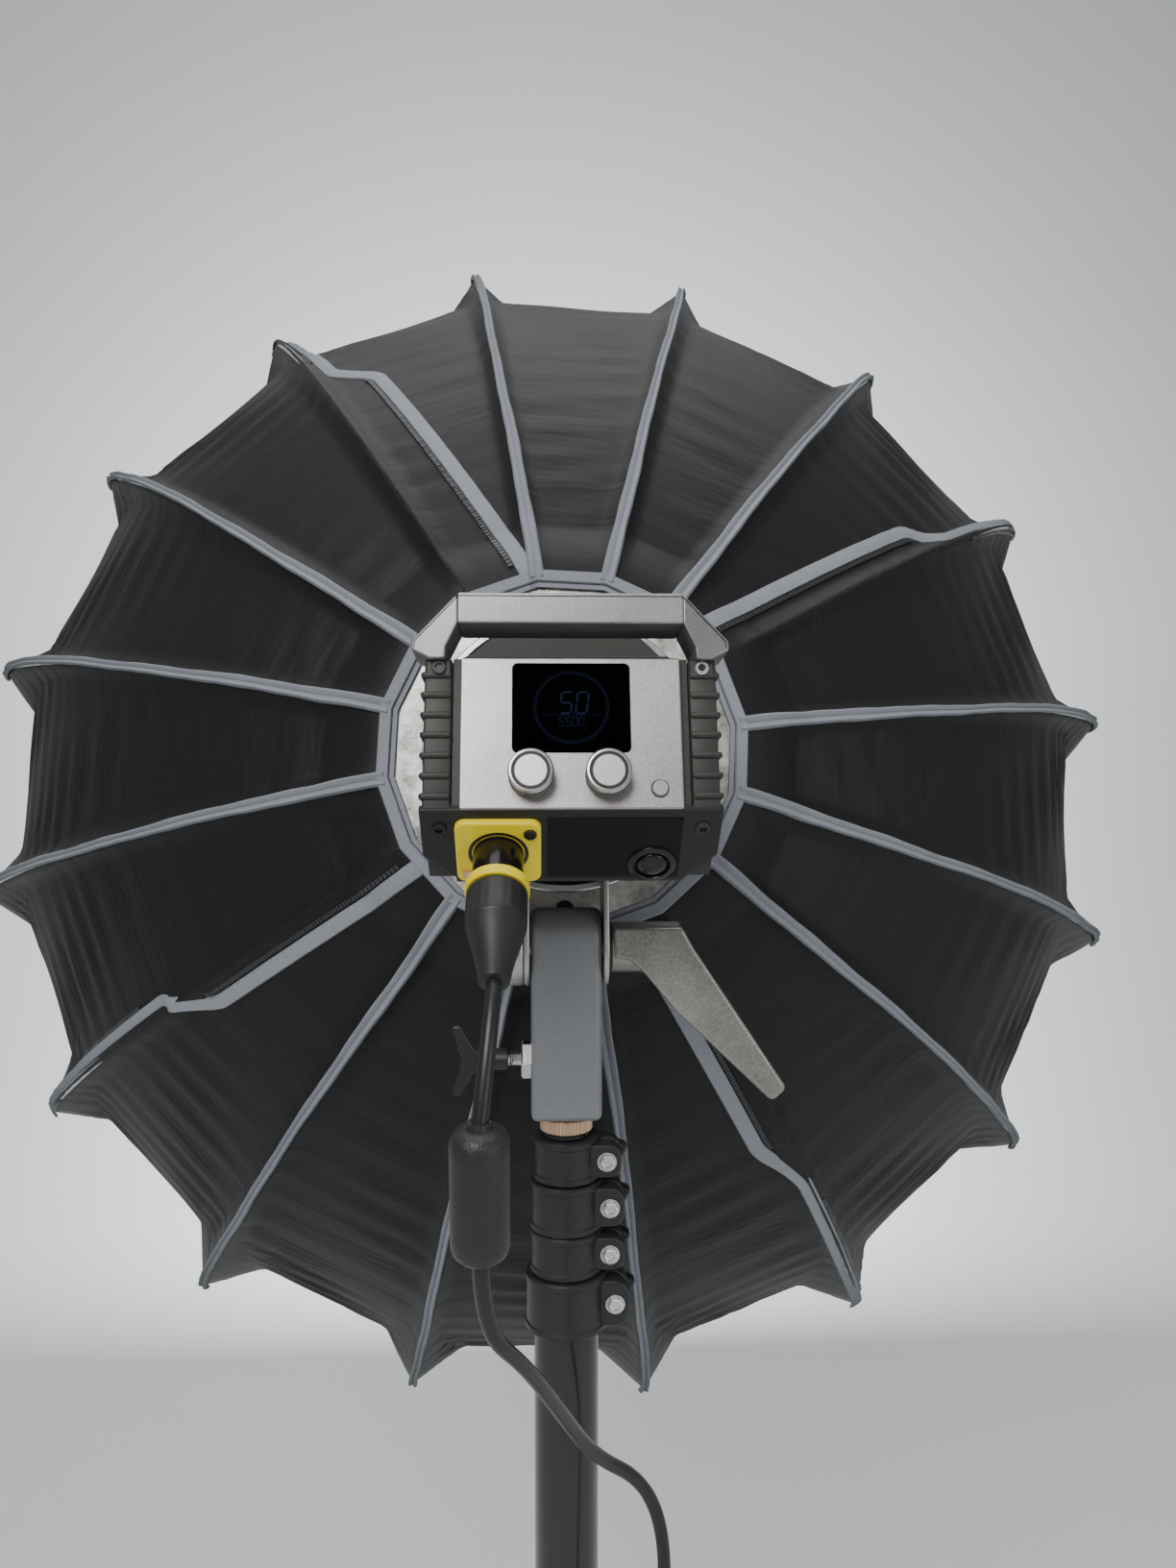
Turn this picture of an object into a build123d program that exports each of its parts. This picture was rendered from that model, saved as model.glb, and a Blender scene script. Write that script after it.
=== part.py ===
from build123d import *
import math
import os

# Deep round softbox on an LED lamp head, with its tilt bracket, five-section light stand and supply lead.
# Millimetres. +Y is the way the light leaves, +Z is up, and the feet stand on z = 0.
# The head is drawn level, with the tilt pivot at its origin, and is then tilted and lifted into place.

# Where things stand
COLUMN_Y = -117.5            # the column is behind the middle of the footprint
PIVOT_Z = 1100.0             # tilt pivot above the floor
HEAD_TILT = -9.0             # degrees, nose down
AXIS_Z = 99.0                # optical axis above the pivot
GAP = 0.4                    # clearance between pieces that pass each other
RUN_FIT = 0.05               # radial clearance of a shaft in its hole

# Softbox
RIB_COUNT = 16
RIB_STEP = 360.0 / RIB_COUNT
FIRST_RIB = -8.5             # degrees clockwise from the top, seen from behind
ROD_R = 2.0
ROD_ROOT = (101.0, 37.0)     # distance from the axis, distance along the axis
ROD_TIP = (450.0, 371.0)
ROD_BOW = 56.0               # how far the bent rod stands off its chord
HEM_SHARE = 0.92             # the fabric's hem, as a share of the rod's arc
FABRIC = 1.4
ROD_STANDOFF = 3.0           # fabric inside the rods at the neck
HEM_PULL = 25.0              # extra pull of the hem inwards, away from the rod tips
STATIONS = 7
RING_R = (72.3, 91.0)
RING_Y = (30.0, 44.0)
SOCKET_R = (91.2, 100.2)
BAFFLE_Y = 190.0
NECK_SHARE = 0.035           # the fabric's edge at the neck, as a share of the rod's arc
POCKET_T = 7.0               # thickness of the pocket over each rod tip
POCKET_CLEAR = 1.6
PIN_SHAFT_R = 2.0            # pull pin that locks the softbox on the lamp
PIN_Z = AXIS_Z - 81.0

# Lamp head
FLANGE_R = 72.0
FLANGE_Y = (22.0, 34.0)
BARREL_R = 56.0
BARREL_WALL = 3.0
BARREL_Y = (-34.0, 22.0)
YOKE_PAD = ((-21.0, 21.0), (-18.0, 20.0), (30.0, 45.0))   # flat under the barrel where the yoke bolts on
MODULE_HALF = 20.0           # half side of the LED module
SINK_R = 51.0
SINK_FINS = 11
SINK_FIN_T = 1.6
SINK_SPREAD = 40.0           # the outermost fins stand this far from the middle
FAN_Y = (-29.0, -13.0)
FAN_R = (46.0, 51.0)
FAN_SPOKE = 3.0
ROTOR_HUB_R = 15.0
ROTOR_Y = (-26.0, -15.0)
BLADES = 7
BLADE = (10.0, 1.4, 30.0)
BLADE_PITCH = 32.0
BODY_FRONT_Y = -36.0
BACK_LOW = (-80.0, 29.0)     # y, z of the connector panel's lower edge
BACK_MID = (-112.0, 56.0)    # edge between connector panel and control panel
BACK_TOP = (-104.0, 118.0)   # top edge of the control panel
CORE_X = 47.0                # half width of the casing between the fin blocks
FIN_X = 58.0
PANEL_T = 3.0
WALL = 3.0
BODY_TOP = 118.0
MODULE_SEAM_Z = 56.0         # height where the fin blocks sit on the casing's shoulders
FIN_BACK_Y = (-109.5, -102.2)   # back of the fin blocks at their foot and at their top
FIN_COUNT = 7
FIN_PITCH = 8.2
FIN_HALF = 1.85
FIN_PROUD = 1.8              # how far a fin stands out of its block
HANDLE_Y = (-110.0, -84.0)
HANDLE_OUTER = ((-63.5, 108.0), (-63.5, 121.0), (-45.0, 143.0), (45.0, 143.0), (63.5, 121.0), (63.5, 108.0))
HANDLE_INNER = ((60.4, 108.0), (60.4, 117.0), (56.5, 120.0), (43.0, 130.5), (-43.0, 130.5), (-56.5, 120.0),
                (-60.4, 117.0), (-60.4, 108.0))
SCREW_R = 2.9
SCREEN = (47.0, 37.0)
SCREEN_MARGIN = 2.5          # screen's top edge below the panel's
DIAL_R = 8.9
DIAL_H = 10.0
DIAL_X = (-16.0, 14.0)
DIAL_V = 13.4                # up the panel's slope from its lower edge
SHAFT_R = 3.0
DIAL_GROOVE = (6.7, 7.4)
BUTTON = (34.5, 8.5)
BUTTON_R = 3.4
BUTTON_STANDS = 1.4
PORT_CORNER = 17.0           # cut off the connector panel's lower corners
INLET_X = -29.0
INLET_V = 20.0
INLET_SIDE = 34.0
INLET_T = 2.6
INLET_R = 10.9
INLET_BORE = 10.2
LATCH = ((INLET_X - 15.0, INLET_X - 10.9), (INLET_V - 14.0, INLET_V - 7.0))
PLUG_NOSE = (-10.0, 19.0)    # the plug's parts, out of the connector panel
PLUG_WAIST = (19.0, 24.0)
PLUG_GRIP = (24.0, 40.0)
PLUG_TAPER = (40.0, 62.0)
PLUG_L = 66.0
PLUG_R = (10.1, 9.0, 11.8, 6.2)   # nose, waist, grip, tail
ROCKER = (33.0, 11.5)
ROCKER_R = 6.2
ROCKER_PIVOT = -1.6          # the rocker's own axis, below the connector panel's face
BEZEL_R = (7.0, 7.95, 10.0)

# Tilt bracket
BOLT_R = 4.0
BLOCK_X = 16.75
BLOCK_Y = 15.0
BLOCK_Z = (-81.0, 19.0)
SPIGOT_R = 8.0
LOCK_Z = -54.0
LOCK_SHAFT_R = 3.2
LOCK_WING = (15.0, 6.0, 34.0)
CHEEK_R = 18.0
CHEEK_T = 2.6
CHEEK_X = (17.4, 20.0)
YOKE_Z = (41.0, 44.0)
BOSS_X = (-32.5, -20.0)      # thick boss on the yoke's left cheek
HUB_X = (21.0, 54.7)
HUB_R = 12.0
ARM_T = 9.0
ARM_TIP = ((105.0, -67.0), (98.5, -73.0))

# Stand: outer radius of each tube from the base up, its collar, and the collar's top above the floor
TUBE_R = (15.5, 13.5, 11.5, 9.5, 7.5)
TUBE_WALL = 1.4
TUBE_FOOT = (100.0, 130.0, 160.0, 190.0, 220.0)
COLLAR_R = (20.0, 17.5, 17.5, 16.0)
COLLAR_Z = ((916.0, 943.0), (943.4, 964.0), (964.4, 988.0), (988.4, 1009.0))
COLLAR_SEAT = 0.55           # share of a collar's height that grips its own tube
FOOT_REACH = 470.0
FOOT_R = 11.0
FOOT_H = 16.0
LEG_DIRECTIONS = (90.0, 210.0, 330.0)
RUNNER_Z = 330.0
BRACKET_Z = 115.0
HINGE_REACH = 28.0
BRACE_ON_LEG = 270.0         # along the leg, from its hinge to the brace's pin
LEG_SECTION = (16.0, 11.0)
BRACE_SECTION = (3.0, 9.0)
HINGE_PIN_R = 2.5
HINGE_LUG = (3.5, 7.0)       # thickness of a lug and half its height
LEG_HUB_R = 20.5
RUNNER_RISE = (-16.0, 22.0)
BRACKET_RISE = (-14.0, 14.0)
RUNNER_KNOB_RISE = 13.0      # runner's clamp knob above the leg hinges
RUNNER_KNOB_TURN = 30.0
BOLT_HOLE_R = 3.0
TAB_Y = (-10.0, 10.0)        # collar's clamp tab
TAB_ROOT_X = 10.0
TAB_OVERHANG = 7.0
TAB_INSET = 2.5
CLAMP_BOLT_OUT = 3.2         # bolt axis outside the collar's own radius
CLAMP_BOLT_R = 2.5
CLAMP_HEAD = (4.3, 3.0)      # radius and height of the bright bolt head
KNOB_HUB = (5.5, 8.0)
KNOB_WING = (24.0, 7.0, 8.0)
KNOB_LEAN = -30.0
CAP_R = 11.8
NECK_R = (9.0, 12.4)         # spigot's shoulder and the brass ring round it
NECK_RISE = (-7.6, -7.4, -7.0, -0.4, -0.3)   # cap, shoulder and brass ring, from the block's foot

# Lead. Points of its route, measured from the column, in order from the plug
CORD_R = 3.0
CORD_UPPER = ((-29.0, -137.3, 1113.0), (-30.0, -153.3, 1099.1), (-33.5, -158.0, 1068.0))
FERRITE_END = (-33.5, -152.0, 1020.0)
CORD_MID = (FERRITE_END, (-33.5, -148.5, 992.0), (-18.0, -126.0, 966.0), (-11.5, -111.0, 948.0))
CORD_SIDE = ((-11.4, -110.7, 947.7), (-5.2, -96.5, 930.6), (10.0, -68.0, 893.0), (22.0, -58.0, 880.5))
CORD_LOWER = ((22.0, -58.0, 880.5), (34.0, -48.0, 868.0), (44.0, -46.0, 838.0), (41.0, -52.0, 795.0),
              (36.0, -62.0, 722.0), (39.0, -70.0, 640.0), (45.0, -74.0, 556.0), (43.0, -80.0, 470.0),
              (37.0, -84.0, 385.0), (38.0, -90.0, 300.0), (44.0, -94.0, 218.0), (42.0, -99.0, 140.0),
              (37.5, -103.0, 84.0), (35.5, -108.0, 50.0), (34.0, -119.0, 21.0), (33.4, -137.0, 6.4),
              (33.0, -159.0, 3.8))
FERRITE_R = 10.5
COIL_CENTRE = (0.0, -165.0)
COIL_R = 33.0
COIL_SECTION = (12.6, 12.4)
END_PLUG = (-42.0, -139.0, -86.0)   # x of its axis, and where it starts and ends along Y
END_PLUG_R = 8.5
END_PLUG_Z = 8.8

os.makedirs("parts", exist_ok=True)


# ---------------------------------------------------------------- helpers
def block(x, y, z):
    """A box from its limits along each axis."""
    centre = [(a + b) / 2 for a, b in (x, y, z)]
    return Pos(*centre) * Box(x[1] - x[0], y[1] - y[0], z[1] - z[0])


def rod(start, end, radius):
    """A round bar between two points."""
    way = Vector(*end) - Vector(*start)
    plane = Plane(origin=start, z_dir=way)
    return plane.location * Cylinder(radius, way.length, align=(Align.CENTER, Align.CENTER, Align.MIN))


def pipe(start, end, outer, inner):
    """A round tube between two points, open at both ends."""
    way = (Vector(*end) - Vector(*start)).normalized()
    longer = rod(tuple(Vector(*start) - way), tuple(Vector(*end) + way), inner)
    return rod(start, end, outer) - longer


def on_axis(radius, y, x=0.0, z=AXIS_Z):
    """A disc or shaft along the optical axis."""
    return rod((x, y[0], z), (x, y[1], z), radius)


def ring_on_axis(outer, inner, y):
    """A ring around the optical axis."""
    return pipe((0, y[0], AXIS_Z), (0, y[1], AXIS_Z), outer, inner)


def prism(points, x):
    """A profile in the Y-Z plane, carried along X."""
    face = make_face(Polyline(*[(x[0], y, z) for y, z in points], close=True))
    return extrude(face, amount=x[1] - x[0], dir=(1, 0, 0))


def in_head(shape):
    """Tilt a piece drawn in the level head and lift it to the pivot."""
    return Pos(0, COLUMN_Y, PIVOT_Z) * Rot(HEAD_TILT, 0, 0) * shape


def at_pivot(shape):
    """Lift a piece drawn around the pivot, without tilting it."""
    return Pos(0, COLUMN_Y, PIVOT_Z) * shape


def on_column(shape):
    """Move a piece drawn around the column's axis."""
    return Pos(0, COLUMN_Y, 0) * shape


def solids_of(shapes):
    """One compound of separate solids."""
    found = []
    for shape in shapes:
        found += list(shape.solids())
    return Compound(children=found)


def save(node, shapes):
    """Write one node from one shape or a list of them."""
    if not isinstance(shapes, (list, tuple)):
        shapes = [shapes]
    found = solids_of(shapes)
    export_step(found if len(found.solids()) > 1 else found.solids()[0], f"parts/{node}.step")


# ---------------------------------------------------------------- softbox
def rib_angle(k):
    """Angle of a rib, clockwise from the top seen from behind."""
    return math.radians(FIRST_RIB + RIB_STEP * k)


def around_axis(shape, k):
    """Turn a piece drawn straight above the axis to rib k."""
    return Pos(0, 0, AXIS_Z) * Rot(0, FIRST_RIB + RIB_STEP * k, 0) * shape


CHORD = math.dist(ROD_ROOT, ROD_TIP)
ARC_R = CHORD ** 2 / (8 * ROD_BOW) + ROD_BOW / 2
CHORD_DIR = ((ROD_TIP[0] - ROD_ROOT[0]) / CHORD, (ROD_TIP[1] - ROD_ROOT[1]) / CHORD)
INWARD = (-CHORD_DIR[1], CHORD_DIR[0])
CENTRE = tuple((ROD_ROOT[i] + ROD_TIP[i]) / 2 + INWARD[i] * (ARC_R - ROD_BOW) for i in (0, 1))
HALF_TURN = math.asin(CHORD / 2 / ARC_R)


def rod_point(share, inset=0.0):
    """Radius and distance along the axis, at a share of the rod's arc, moved inwards by inset."""
    turn = HALF_TURN * (2 * share - 1)
    radial = [-INWARD[i] * math.cos(turn) + CHORD_DIR[i] * math.sin(turn) for i in (0, 1)]
    return tuple(CENTRE[i] + radial[i] * (ARC_R - inset) for i in (0, 1))


def fabric_point(share, inset=0.0):
    """Radius and distance along the axis of the fabric's edge under a rod."""
    return rod_point(share, ROD_STANDOFF + HEM_PULL * share ** 3 + inset)


def gore_section(radius, y):
    """A flat sixteen-sided face square to the axis."""
    corners = [(radius * math.sin(rib_angle(k)), y, AXIS_Z + radius * math.cos(rib_angle(k)))
               for k in range(RIB_COUNT)]
    return make_face(Polyline(*corners, close=True))


def dome_solid(inset, first, last):
    """The space inside the gores, from one share of the arc to another."""
    shares = [first + (last - first) * i / (STATIONS - 1) for i in range(STATIONS)]
    return loft([gore_section(*fabric_point(share, inset)) for share in shares], ruled=True)


dome_shell = dome_solid(0.0, NECK_SHARE, HEM_SHARE) - dome_solid(FABRIC, NECK_SHARE - 0.02, HEM_SHARE + 0.02)
root_point = rod_point(0.0)
mid_point = rod_point(0.5)
tip_point = rod_point(1.0)
rod_path = ThreePointArc((0, root_point[1], root_point[0]), (0, mid_point[1], mid_point[0]),
                         (0, tip_point[1], tip_point[0]))
rod_start = Plane(origin=rod_path @ 0, z_dir=rod_path % 0)
one_rod = sweep(rod_start * Circle(ROD_R), path=rod_path)
save("ribs", [in_head(around_axis(one_rod, k)) for k in range(RIB_COUNT)])

# A pocket closes over each rod tip, outside the hem.
pocket_low = [fabric_point(s, -POCKET_CLEAR) for s in (0.80, 0.86, HEM_SHARE)]
pocket_high = [rod_point(s, -ROD_R - 1.5) for s in (1.0, 0.93, 0.86, 0.80)]
pocket_end = (ROD_TIP[0] + 1.0, ROD_TIP[1] + 4.0)
pocket_outline = [(y, r) for r, y in pocket_low + [rod_point(0.985, 9.0), pocket_end] + pocket_high]
one_pocket = prism(pocket_outline, (-POCKET_T / 2, POCKET_T / 2)) - sweep(
    rod_start * Circle(ROD_R + RUN_FIT), path=rod_path)
save("dome_shell", [in_head(dome_shell)] + [in_head(around_axis(one_pocket, k)) for k in range(RIB_COUNT)])

speed_ring = ring_on_axis(RING_R[1], RING_R[0], RING_Y)
speed_ring = speed_ring - on_axis(PIN_SHAFT_R + RUN_FIT, (20.0, 41.0), z=PIN_Z)
socket = block((-5.0, 5.0), (31.0, 43.0), SOCKET_R)
save("speed_ring", [in_head(speed_ring)] + [in_head(around_axis(socket, k)) for k in range(RIB_COUNT)])

hem_radius, hem_y = fabric_point(HEM_SHARE - 0.03, FABRIC + 0.8)
save("front_diffuser", in_head(extrude(gore_section(hem_radius - 1.0, hem_y), amount=1.2, dir=(0, 1, 0))))


def fabric_radius_at(y):
    """Radius of the fabric's inner corner where it is this far along the axis."""
    low, high = NECK_SHARE, HEM_SHARE
    for _ in range(40):
        middle = (low + high) / 2
        if fabric_point(middle, FABRIC)[1] < y:
            low = middle
        else:
            high = middle
    return fabric_point(low, FABRIC)[0]


baffle_face = gore_section(fabric_radius_at(BAFFLE_Y) - 6.0, BAFFLE_Y)
save("inner_baffle", in_head(extrude(baffle_face, amount=1.0, dir=(0, 1, 0))))
lock_pin = on_axis(4.6, (21.5, 29.5), z=PIN_Z) + on_axis(PIN_SHAFT_R, (29.5, 36.0), z=PIN_Z)
save("ring_lock_pin", in_head(lock_pin))

# ---------------------------------------------------------------- lamp head, front part
flange = ring_on_axis(FLANGE_R, 46.0, FLANGE_Y) - ring_on_axis(60.0, 50.0, (30.0, 40.0))
save("mount_flange", in_head(flange))
barrel = ring_on_axis(BARREL_R, BARREL_R - BARREL_WALL, BARREL_Y)
barrel = barrel + ring_on_axis(BARREL_R - 1.0, 30.0, (BARREL_Y[0], BARREL_Y[0] + BARREL_WALL))
save("lamp_barrel", in_head(barrel - block(*YOKE_PAD)))

# Inside the barrel, from the front: reflector, LED module, heat sink, fan
reflector = on_axis(45.0, (14.0, 28.0)) - on_axis(42.0, (14.0, 30.0))
reflector = reflector + ring_on_axis(BARREL_R - BARREL_WALL - GAP, 40.0, (12.0, 14.0))
save("lamp_reflector", in_head(reflector))
module_z = (AXIS_Z - MODULE_HALF, AXIS_Z + MODULE_HALF)
save("led_module", in_head(block((-MODULE_HALF, MODULE_HALF), (8.0, 11.5), module_z)))
sink = on_axis(SINK_R, (3.0, 7.5))
for i in range(SINK_FINS):
    x = SINK_SPREAD * (2.0 * i / (SINK_FINS - 1) - 1.0)
    half = math.sqrt((SINK_R - 2.0) ** 2 - x ** 2)
    fin_x = (x - SINK_FIN_T / 2, x + SINK_FIN_T / 2)
    sink = sink + block(fin_x, (-12.0, 3.5), (AXIS_Z - half, AXIS_Z + half))
save("heat_sink", in_head(sink))
fan_frame = ring_on_axis(FAN_R[1], FAN_R[0], FAN_Y) + on_axis(9.0, (FAN_Y[0], ROTOR_Y[0] - 0.5))
for turn in (45, 135, 225, 315):
    spoke_bar = block((-FAN_SPOKE / 2, FAN_SPOKE / 2), (FAN_Y[0], FAN_Y[0] + 1.5), (8.0, FAN_R[0] + 0.5))
    fan_frame = fan_frame + Pos(0, 0, AXIS_Z) * Rot(0, turn, 0) * spoke_bar
save("fan_frame", in_head(fan_frame))
rotor = on_axis(ROTOR_HUB_R, ROTOR_Y)
blade = Pos(0, sum(ROTOR_Y) / 2, ROTOR_HUB_R + BLADE[2] / 2 - 1.0) * Rot(0, 0, BLADE_PITCH) * Box(*BLADE)
for k in range(BLADES):
    rotor = rotor + Pos(0, 0, AXIS_Z) * Rot(0, k * 360.0 / BLADES, 0) * blade
save("fan_rotor", in_head(rotor))

# ---------------------------------------------------------------- lamp head, rear casing
CONTROL_PLANE = Plane(origin=(0, *BACK_MID), x_dir=(1, 0, 0),
                      z_dir=(0, -(BACK_TOP[1] - BACK_MID[1]), BACK_TOP[0] - BACK_MID[0]))
CONTROL_L = math.dist(BACK_MID, BACK_TOP)
PORT_PLANE = Plane(origin=(0, *BACK_LOW), x_dir=(1, 0, 0),
                   z_dir=(0, -(BACK_MID[1] - BACK_LOW[1]), BACK_MID[0] - BACK_LOW[0]))
PORT_L = math.dist(BACK_MID, BACK_LOW)


def on_panel(plane, x, v, n, shape):
    """Stand a piece on a panel: x across, v up its slope, n out of it."""
    return plane.location * Pos(x, v, n) * shape


def stud(plane, x, v, n, radius):
    """A round stud square to a panel, between two heights."""
    bar = Cylinder(radius, n[1] - n[0], align=(Align.CENTER, Align.CENTER, Align.MIN))
    return on_panel(plane, x, v, n[0], bar)


def plate(plane, x, v, n):
    """A flat plate on a panel, from its limits."""
    return plane.location * block(x, v, n)


back_profile = [(BODY_FRONT_Y, 34.0), (-72.0, 30.0), BACK_LOW, BACK_MID, BACK_TOP, (BODY_FRONT_Y, BODY_TOP)]
core = prism(back_profile, (-CORE_X, CORE_X))
# The panels close the back, so their thickness is taken off it.
behind_panels = plate(CONTROL_PLANE, (-70, 70), (-8.0, CONTROL_L + 8.0), (-PANEL_T, 20.0))
behind_ports = plate(PORT_PLANE, (-70, 70), (-12.0, PORT_L + 8.0), (-PANEL_T, 20.0))
hollow = block((-CORE_X + WALL, CORE_X - WALL), (-130.0, BODY_FRONT_Y - WALL), (38.0, BODY_TOP - WALL))
shoulder_top = MODULE_SEAM_Z - GAP
shoulder_profile = [(BODY_FRONT_Y, 34.0), (-70.0, 32.0), (-79.0, 32.0), (-108.5, shoulder_top),
                    (BODY_FRONT_Y, shoulder_top)]
shoulders = [prism(shoulder_profile, x) for x in ((-FIN_X, -CORE_X), (CORE_X, FIN_X))]
casing = core + shoulders[0] + shoulders[1]
casing = casing - hollow - behind_panels - behind_ports
casing = casing - ring_on_axis(200.0, BARREL_R + 8.0, (BODY_FRONT_Y - 1.0, 0.0))
casing = casing - on_axis(40.0, (BODY_FRONT_Y - WALL - 1.0, 0.0))
casing = casing - stud(PORT_PLANE, INLET_X, INLET_V, (-17.0, 5.0), 11.6)
casing = casing - stud(PORT_PLANE, *ROCKER, (-12.0, 5.0), 10.6)
save("rear_casing", in_head(casing))

control = plate(CONTROL_PLANE, (-CORE_X + 3.0, CORE_X - 3.0), (0.0, CONTROL_L), (-PANEL_T + 0.01, 0.0))
mitre = plate(PORT_PLANE, (-70, 70), (-20.0, PORT_L + 20.0), (-PANEL_T - 0.2, 20.0))
control = control - mitre
for x in DIAL_X:
    control = control - stud(CONTROL_PLANE, x, DIAL_V, (-10.0, 5.0), SHAFT_R + RUN_FIT)
control = control - stud(CONTROL_PLANE, *BUTTON, (-10.0, 5.0), BUTTON_R + RUN_FIT)
save("control_panel", in_head(control))
screen_v = (CONTROL_L - SCREEN[1] - SCREEN_MARGIN, CONTROL_L - SCREEN_MARGIN)
screen = plate(CONTROL_PLANE, (-SCREEN[0] / 2, SCREEN[0] / 2), screen_v, (0.0, 0.7))
screen_corners = screen.edges().filter_by(Axis((0, 0, 0), tuple(CONTROL_PLANE.z_dir)))
save("display_window", in_head(fillet(screen_corners, radius=2.0)))
for name, x in zip(("dial_left", "dial_right"), DIAL_X):
    dial = stud(CONTROL_PLANE, x, DIAL_V, (GAP, GAP + DIAL_H), DIAL_R)
    dial = fillet(dial.edges().group_by(SortBy.LENGTH)[-1], radius=0.8)
    dial = dial + stud(CONTROL_PLANE, x, DIAL_V, (-8.0, GAP), SHAFT_R)
    groove = stud(CONTROL_PLANE, x, DIAL_V, (DIAL_H - GAP, DIAL_H + 2.0), DIAL_GROOVE[1])
    dial = dial - (groove - stud(CONTROL_PLANE, x, DIAL_V, (DIAL_H - 1.0, DIAL_H + 2.0), DIAL_GROOVE[0]))
    save(name, in_head(dial))
push_button = stud(CONTROL_PLANE, *BUTTON, (-4.0, BUTTON_STANDS), BUTTON_R)
push_button = push_button + stud(CONTROL_PLANE, *BUTTON, (-5.0, -PANEL_T - GAP), BUTTON_R + 1.5)
save("push_button", in_head(push_button))
save("driver_board", in_head(block((-40.0, 40.0), (-78.0, -76.4), (46.0, 112.0))))

ports = plate(PORT_PLANE, (-FIN_X - 2.0, FIN_X + 2.0), (0.6, PORT_L - 0.1), (-PANEL_T + 0.01, 0.0))
for side in (-1, 1):
    corner = Rot(0, 0, 45) * Box(PORT_CORNER * 2, PORT_CORNER * 2, 20.0)
    ports = ports - on_panel(PORT_PLANE, side * (FIN_X + 2.0), 0.0, 0.0, corner)
ports = ports - stud(PORT_PLANE, INLET_X, INLET_V, (-10.0, 5.0), 11.0)
ports = ports - stud(PORT_PLANE, *ROCKER, (-10.0, 5.0), 8.0)
save("connector_panel", in_head(ports))
bezel = stud(PORT_PLANE, *ROCKER, (0.0, 1.6), BEZEL_R[2]) + stud(PORT_PLANE, *ROCKER, (-6.0, 0.0), BEZEL_R[1])
save("rocker_bezel", in_head(bezel - stud(PORT_PLANE, *ROCKER, (-7.0, 3.0), BEZEL_R[0])))
rocker = on_panel(PORT_PLANE, *ROCKER, ROCKER_PIVOT, Rot(0, 90, 0) * Cylinder(ROCKER_R, 8.6))
rocker = rocker & stud(PORT_PLANE, *ROCKER, (-6.0, 4.0), ROCKER_R)
save("power_rocker", in_head(rocker))

inlet = plate(PORT_PLANE, (INLET_X - INLET_SIDE / 2, INLET_X + INLET_SIDE / 2),
              (INLET_V - INLET_SIDE / 2, INLET_V + INLET_SIDE / 2), (0.0, INLET_T))
inlet = fillet(inlet.edges().filter_by(Axis((0, 0, 0), tuple(PORT_PLANE.z_dir))), radius=4.0)
inlet = inlet + stud(PORT_PLANE, INLET_X, INLET_V, (-14.0, 0.0), INLET_R)
inlet = inlet - stud(PORT_PLANE, INLET_X, INLET_V, (-12.0, 6.0), INLET_BORE)
save("dc_inlet", in_head(inlet - plate(PORT_PLANE, *LATCH, (0.6, 4.0))))
latch_x, latch_v = LATCH
latch_x, latch_v = (latch_x[0] + GAP, latch_x[1] - GAP), (latch_v[0] + GAP, latch_v[1] - 2.4)
latch = plate(PORT_PLANE, latch_x, latch_v, (0.8, 3.8))
save("inlet_latch", in_head(latch))

nose_r, waist_r, grip_r, tail_r = PLUG_R
taper_l = PLUG_TAPER[1] - PLUG_TAPER[0]
taper = Cone(grip_r - GAP, tail_r, taper_l, align=(Align.CENTER, Align.CENTER, Align.MIN))
plug = stud(PORT_PLANE, INLET_X, INLET_V, PLUG_NOSE, nose_r)
plug = plug + stud(PORT_PLANE, INLET_X, INLET_V, PLUG_WAIST, waist_r)
plug = plug + stud(PORT_PLANE, INLET_X, INLET_V, PLUG_GRIP, grip_r)
plug = plug + on_panel(PORT_PLANE, INLET_X, INLET_V, PLUG_TAPER[0], taper)
plug = plug + stud(PORT_PLANE, INLET_X, INLET_V, (PLUG_TAPER[1], PLUG_L), tail_r)
save("dc_plug", in_head(plug))
plug_ring = stud(PORT_PLANE, INLET_X, INLET_V, (PLUG_WAIST[0] + 0.2, PLUG_WAIST[1] - 0.2), 12.6)
plug_ring = plug_ring - stud(PORT_PLANE, INLET_X, INLET_V, (15.0, 30.0), waist_r)
save("plug_ring", in_head(plug_ring))

fin_profile = [(BODY_FRONT_Y, MODULE_SEAM_Z + 0.2), (FIN_BACK_Y[0], MODULE_SEAM_Z + 0.2),
               (FIN_BACK_Y[1], BODY_TOP - GAP), (BODY_FRONT_Y, BODY_TOP - GAP)]
fin_nodes = []
for side in (-1, 1):
    root = side * (CORE_X + 0.2)
    fins = prism(fin_profile, tuple(sorted((root, side * FIN_X))))
    for i in range(FIN_COUNT):
        z = MODULE_SEAM_Z + 5.5 + i * FIN_PITCH
        back = FIN_BACK_Y[0] - 1.1 + (z - MODULE_SEAM_Z) * 0.129
        fin_x = tuple(sorted((root, side * (FIN_X + FIN_PROUD))))
        fins = fins + block(fin_x, (back, BODY_FRONT_Y - 4.0), (z - FIN_HALF, z + FIN_HALF))
    fin_nodes.append(in_head(fins - mitre))
save("side_fins", fin_nodes)

handle_line = [(x, HANDLE_Y[0], z) for x, z in HANDLE_OUTER + HANDLE_INNER]
handle_face = make_face(Polyline(*handle_line, close=True))
save("carry_handle", in_head(extrude(handle_face, amount=HANDLE_Y[1] - HANDLE_Y[0], dir=(0, 1, 0))))

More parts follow.
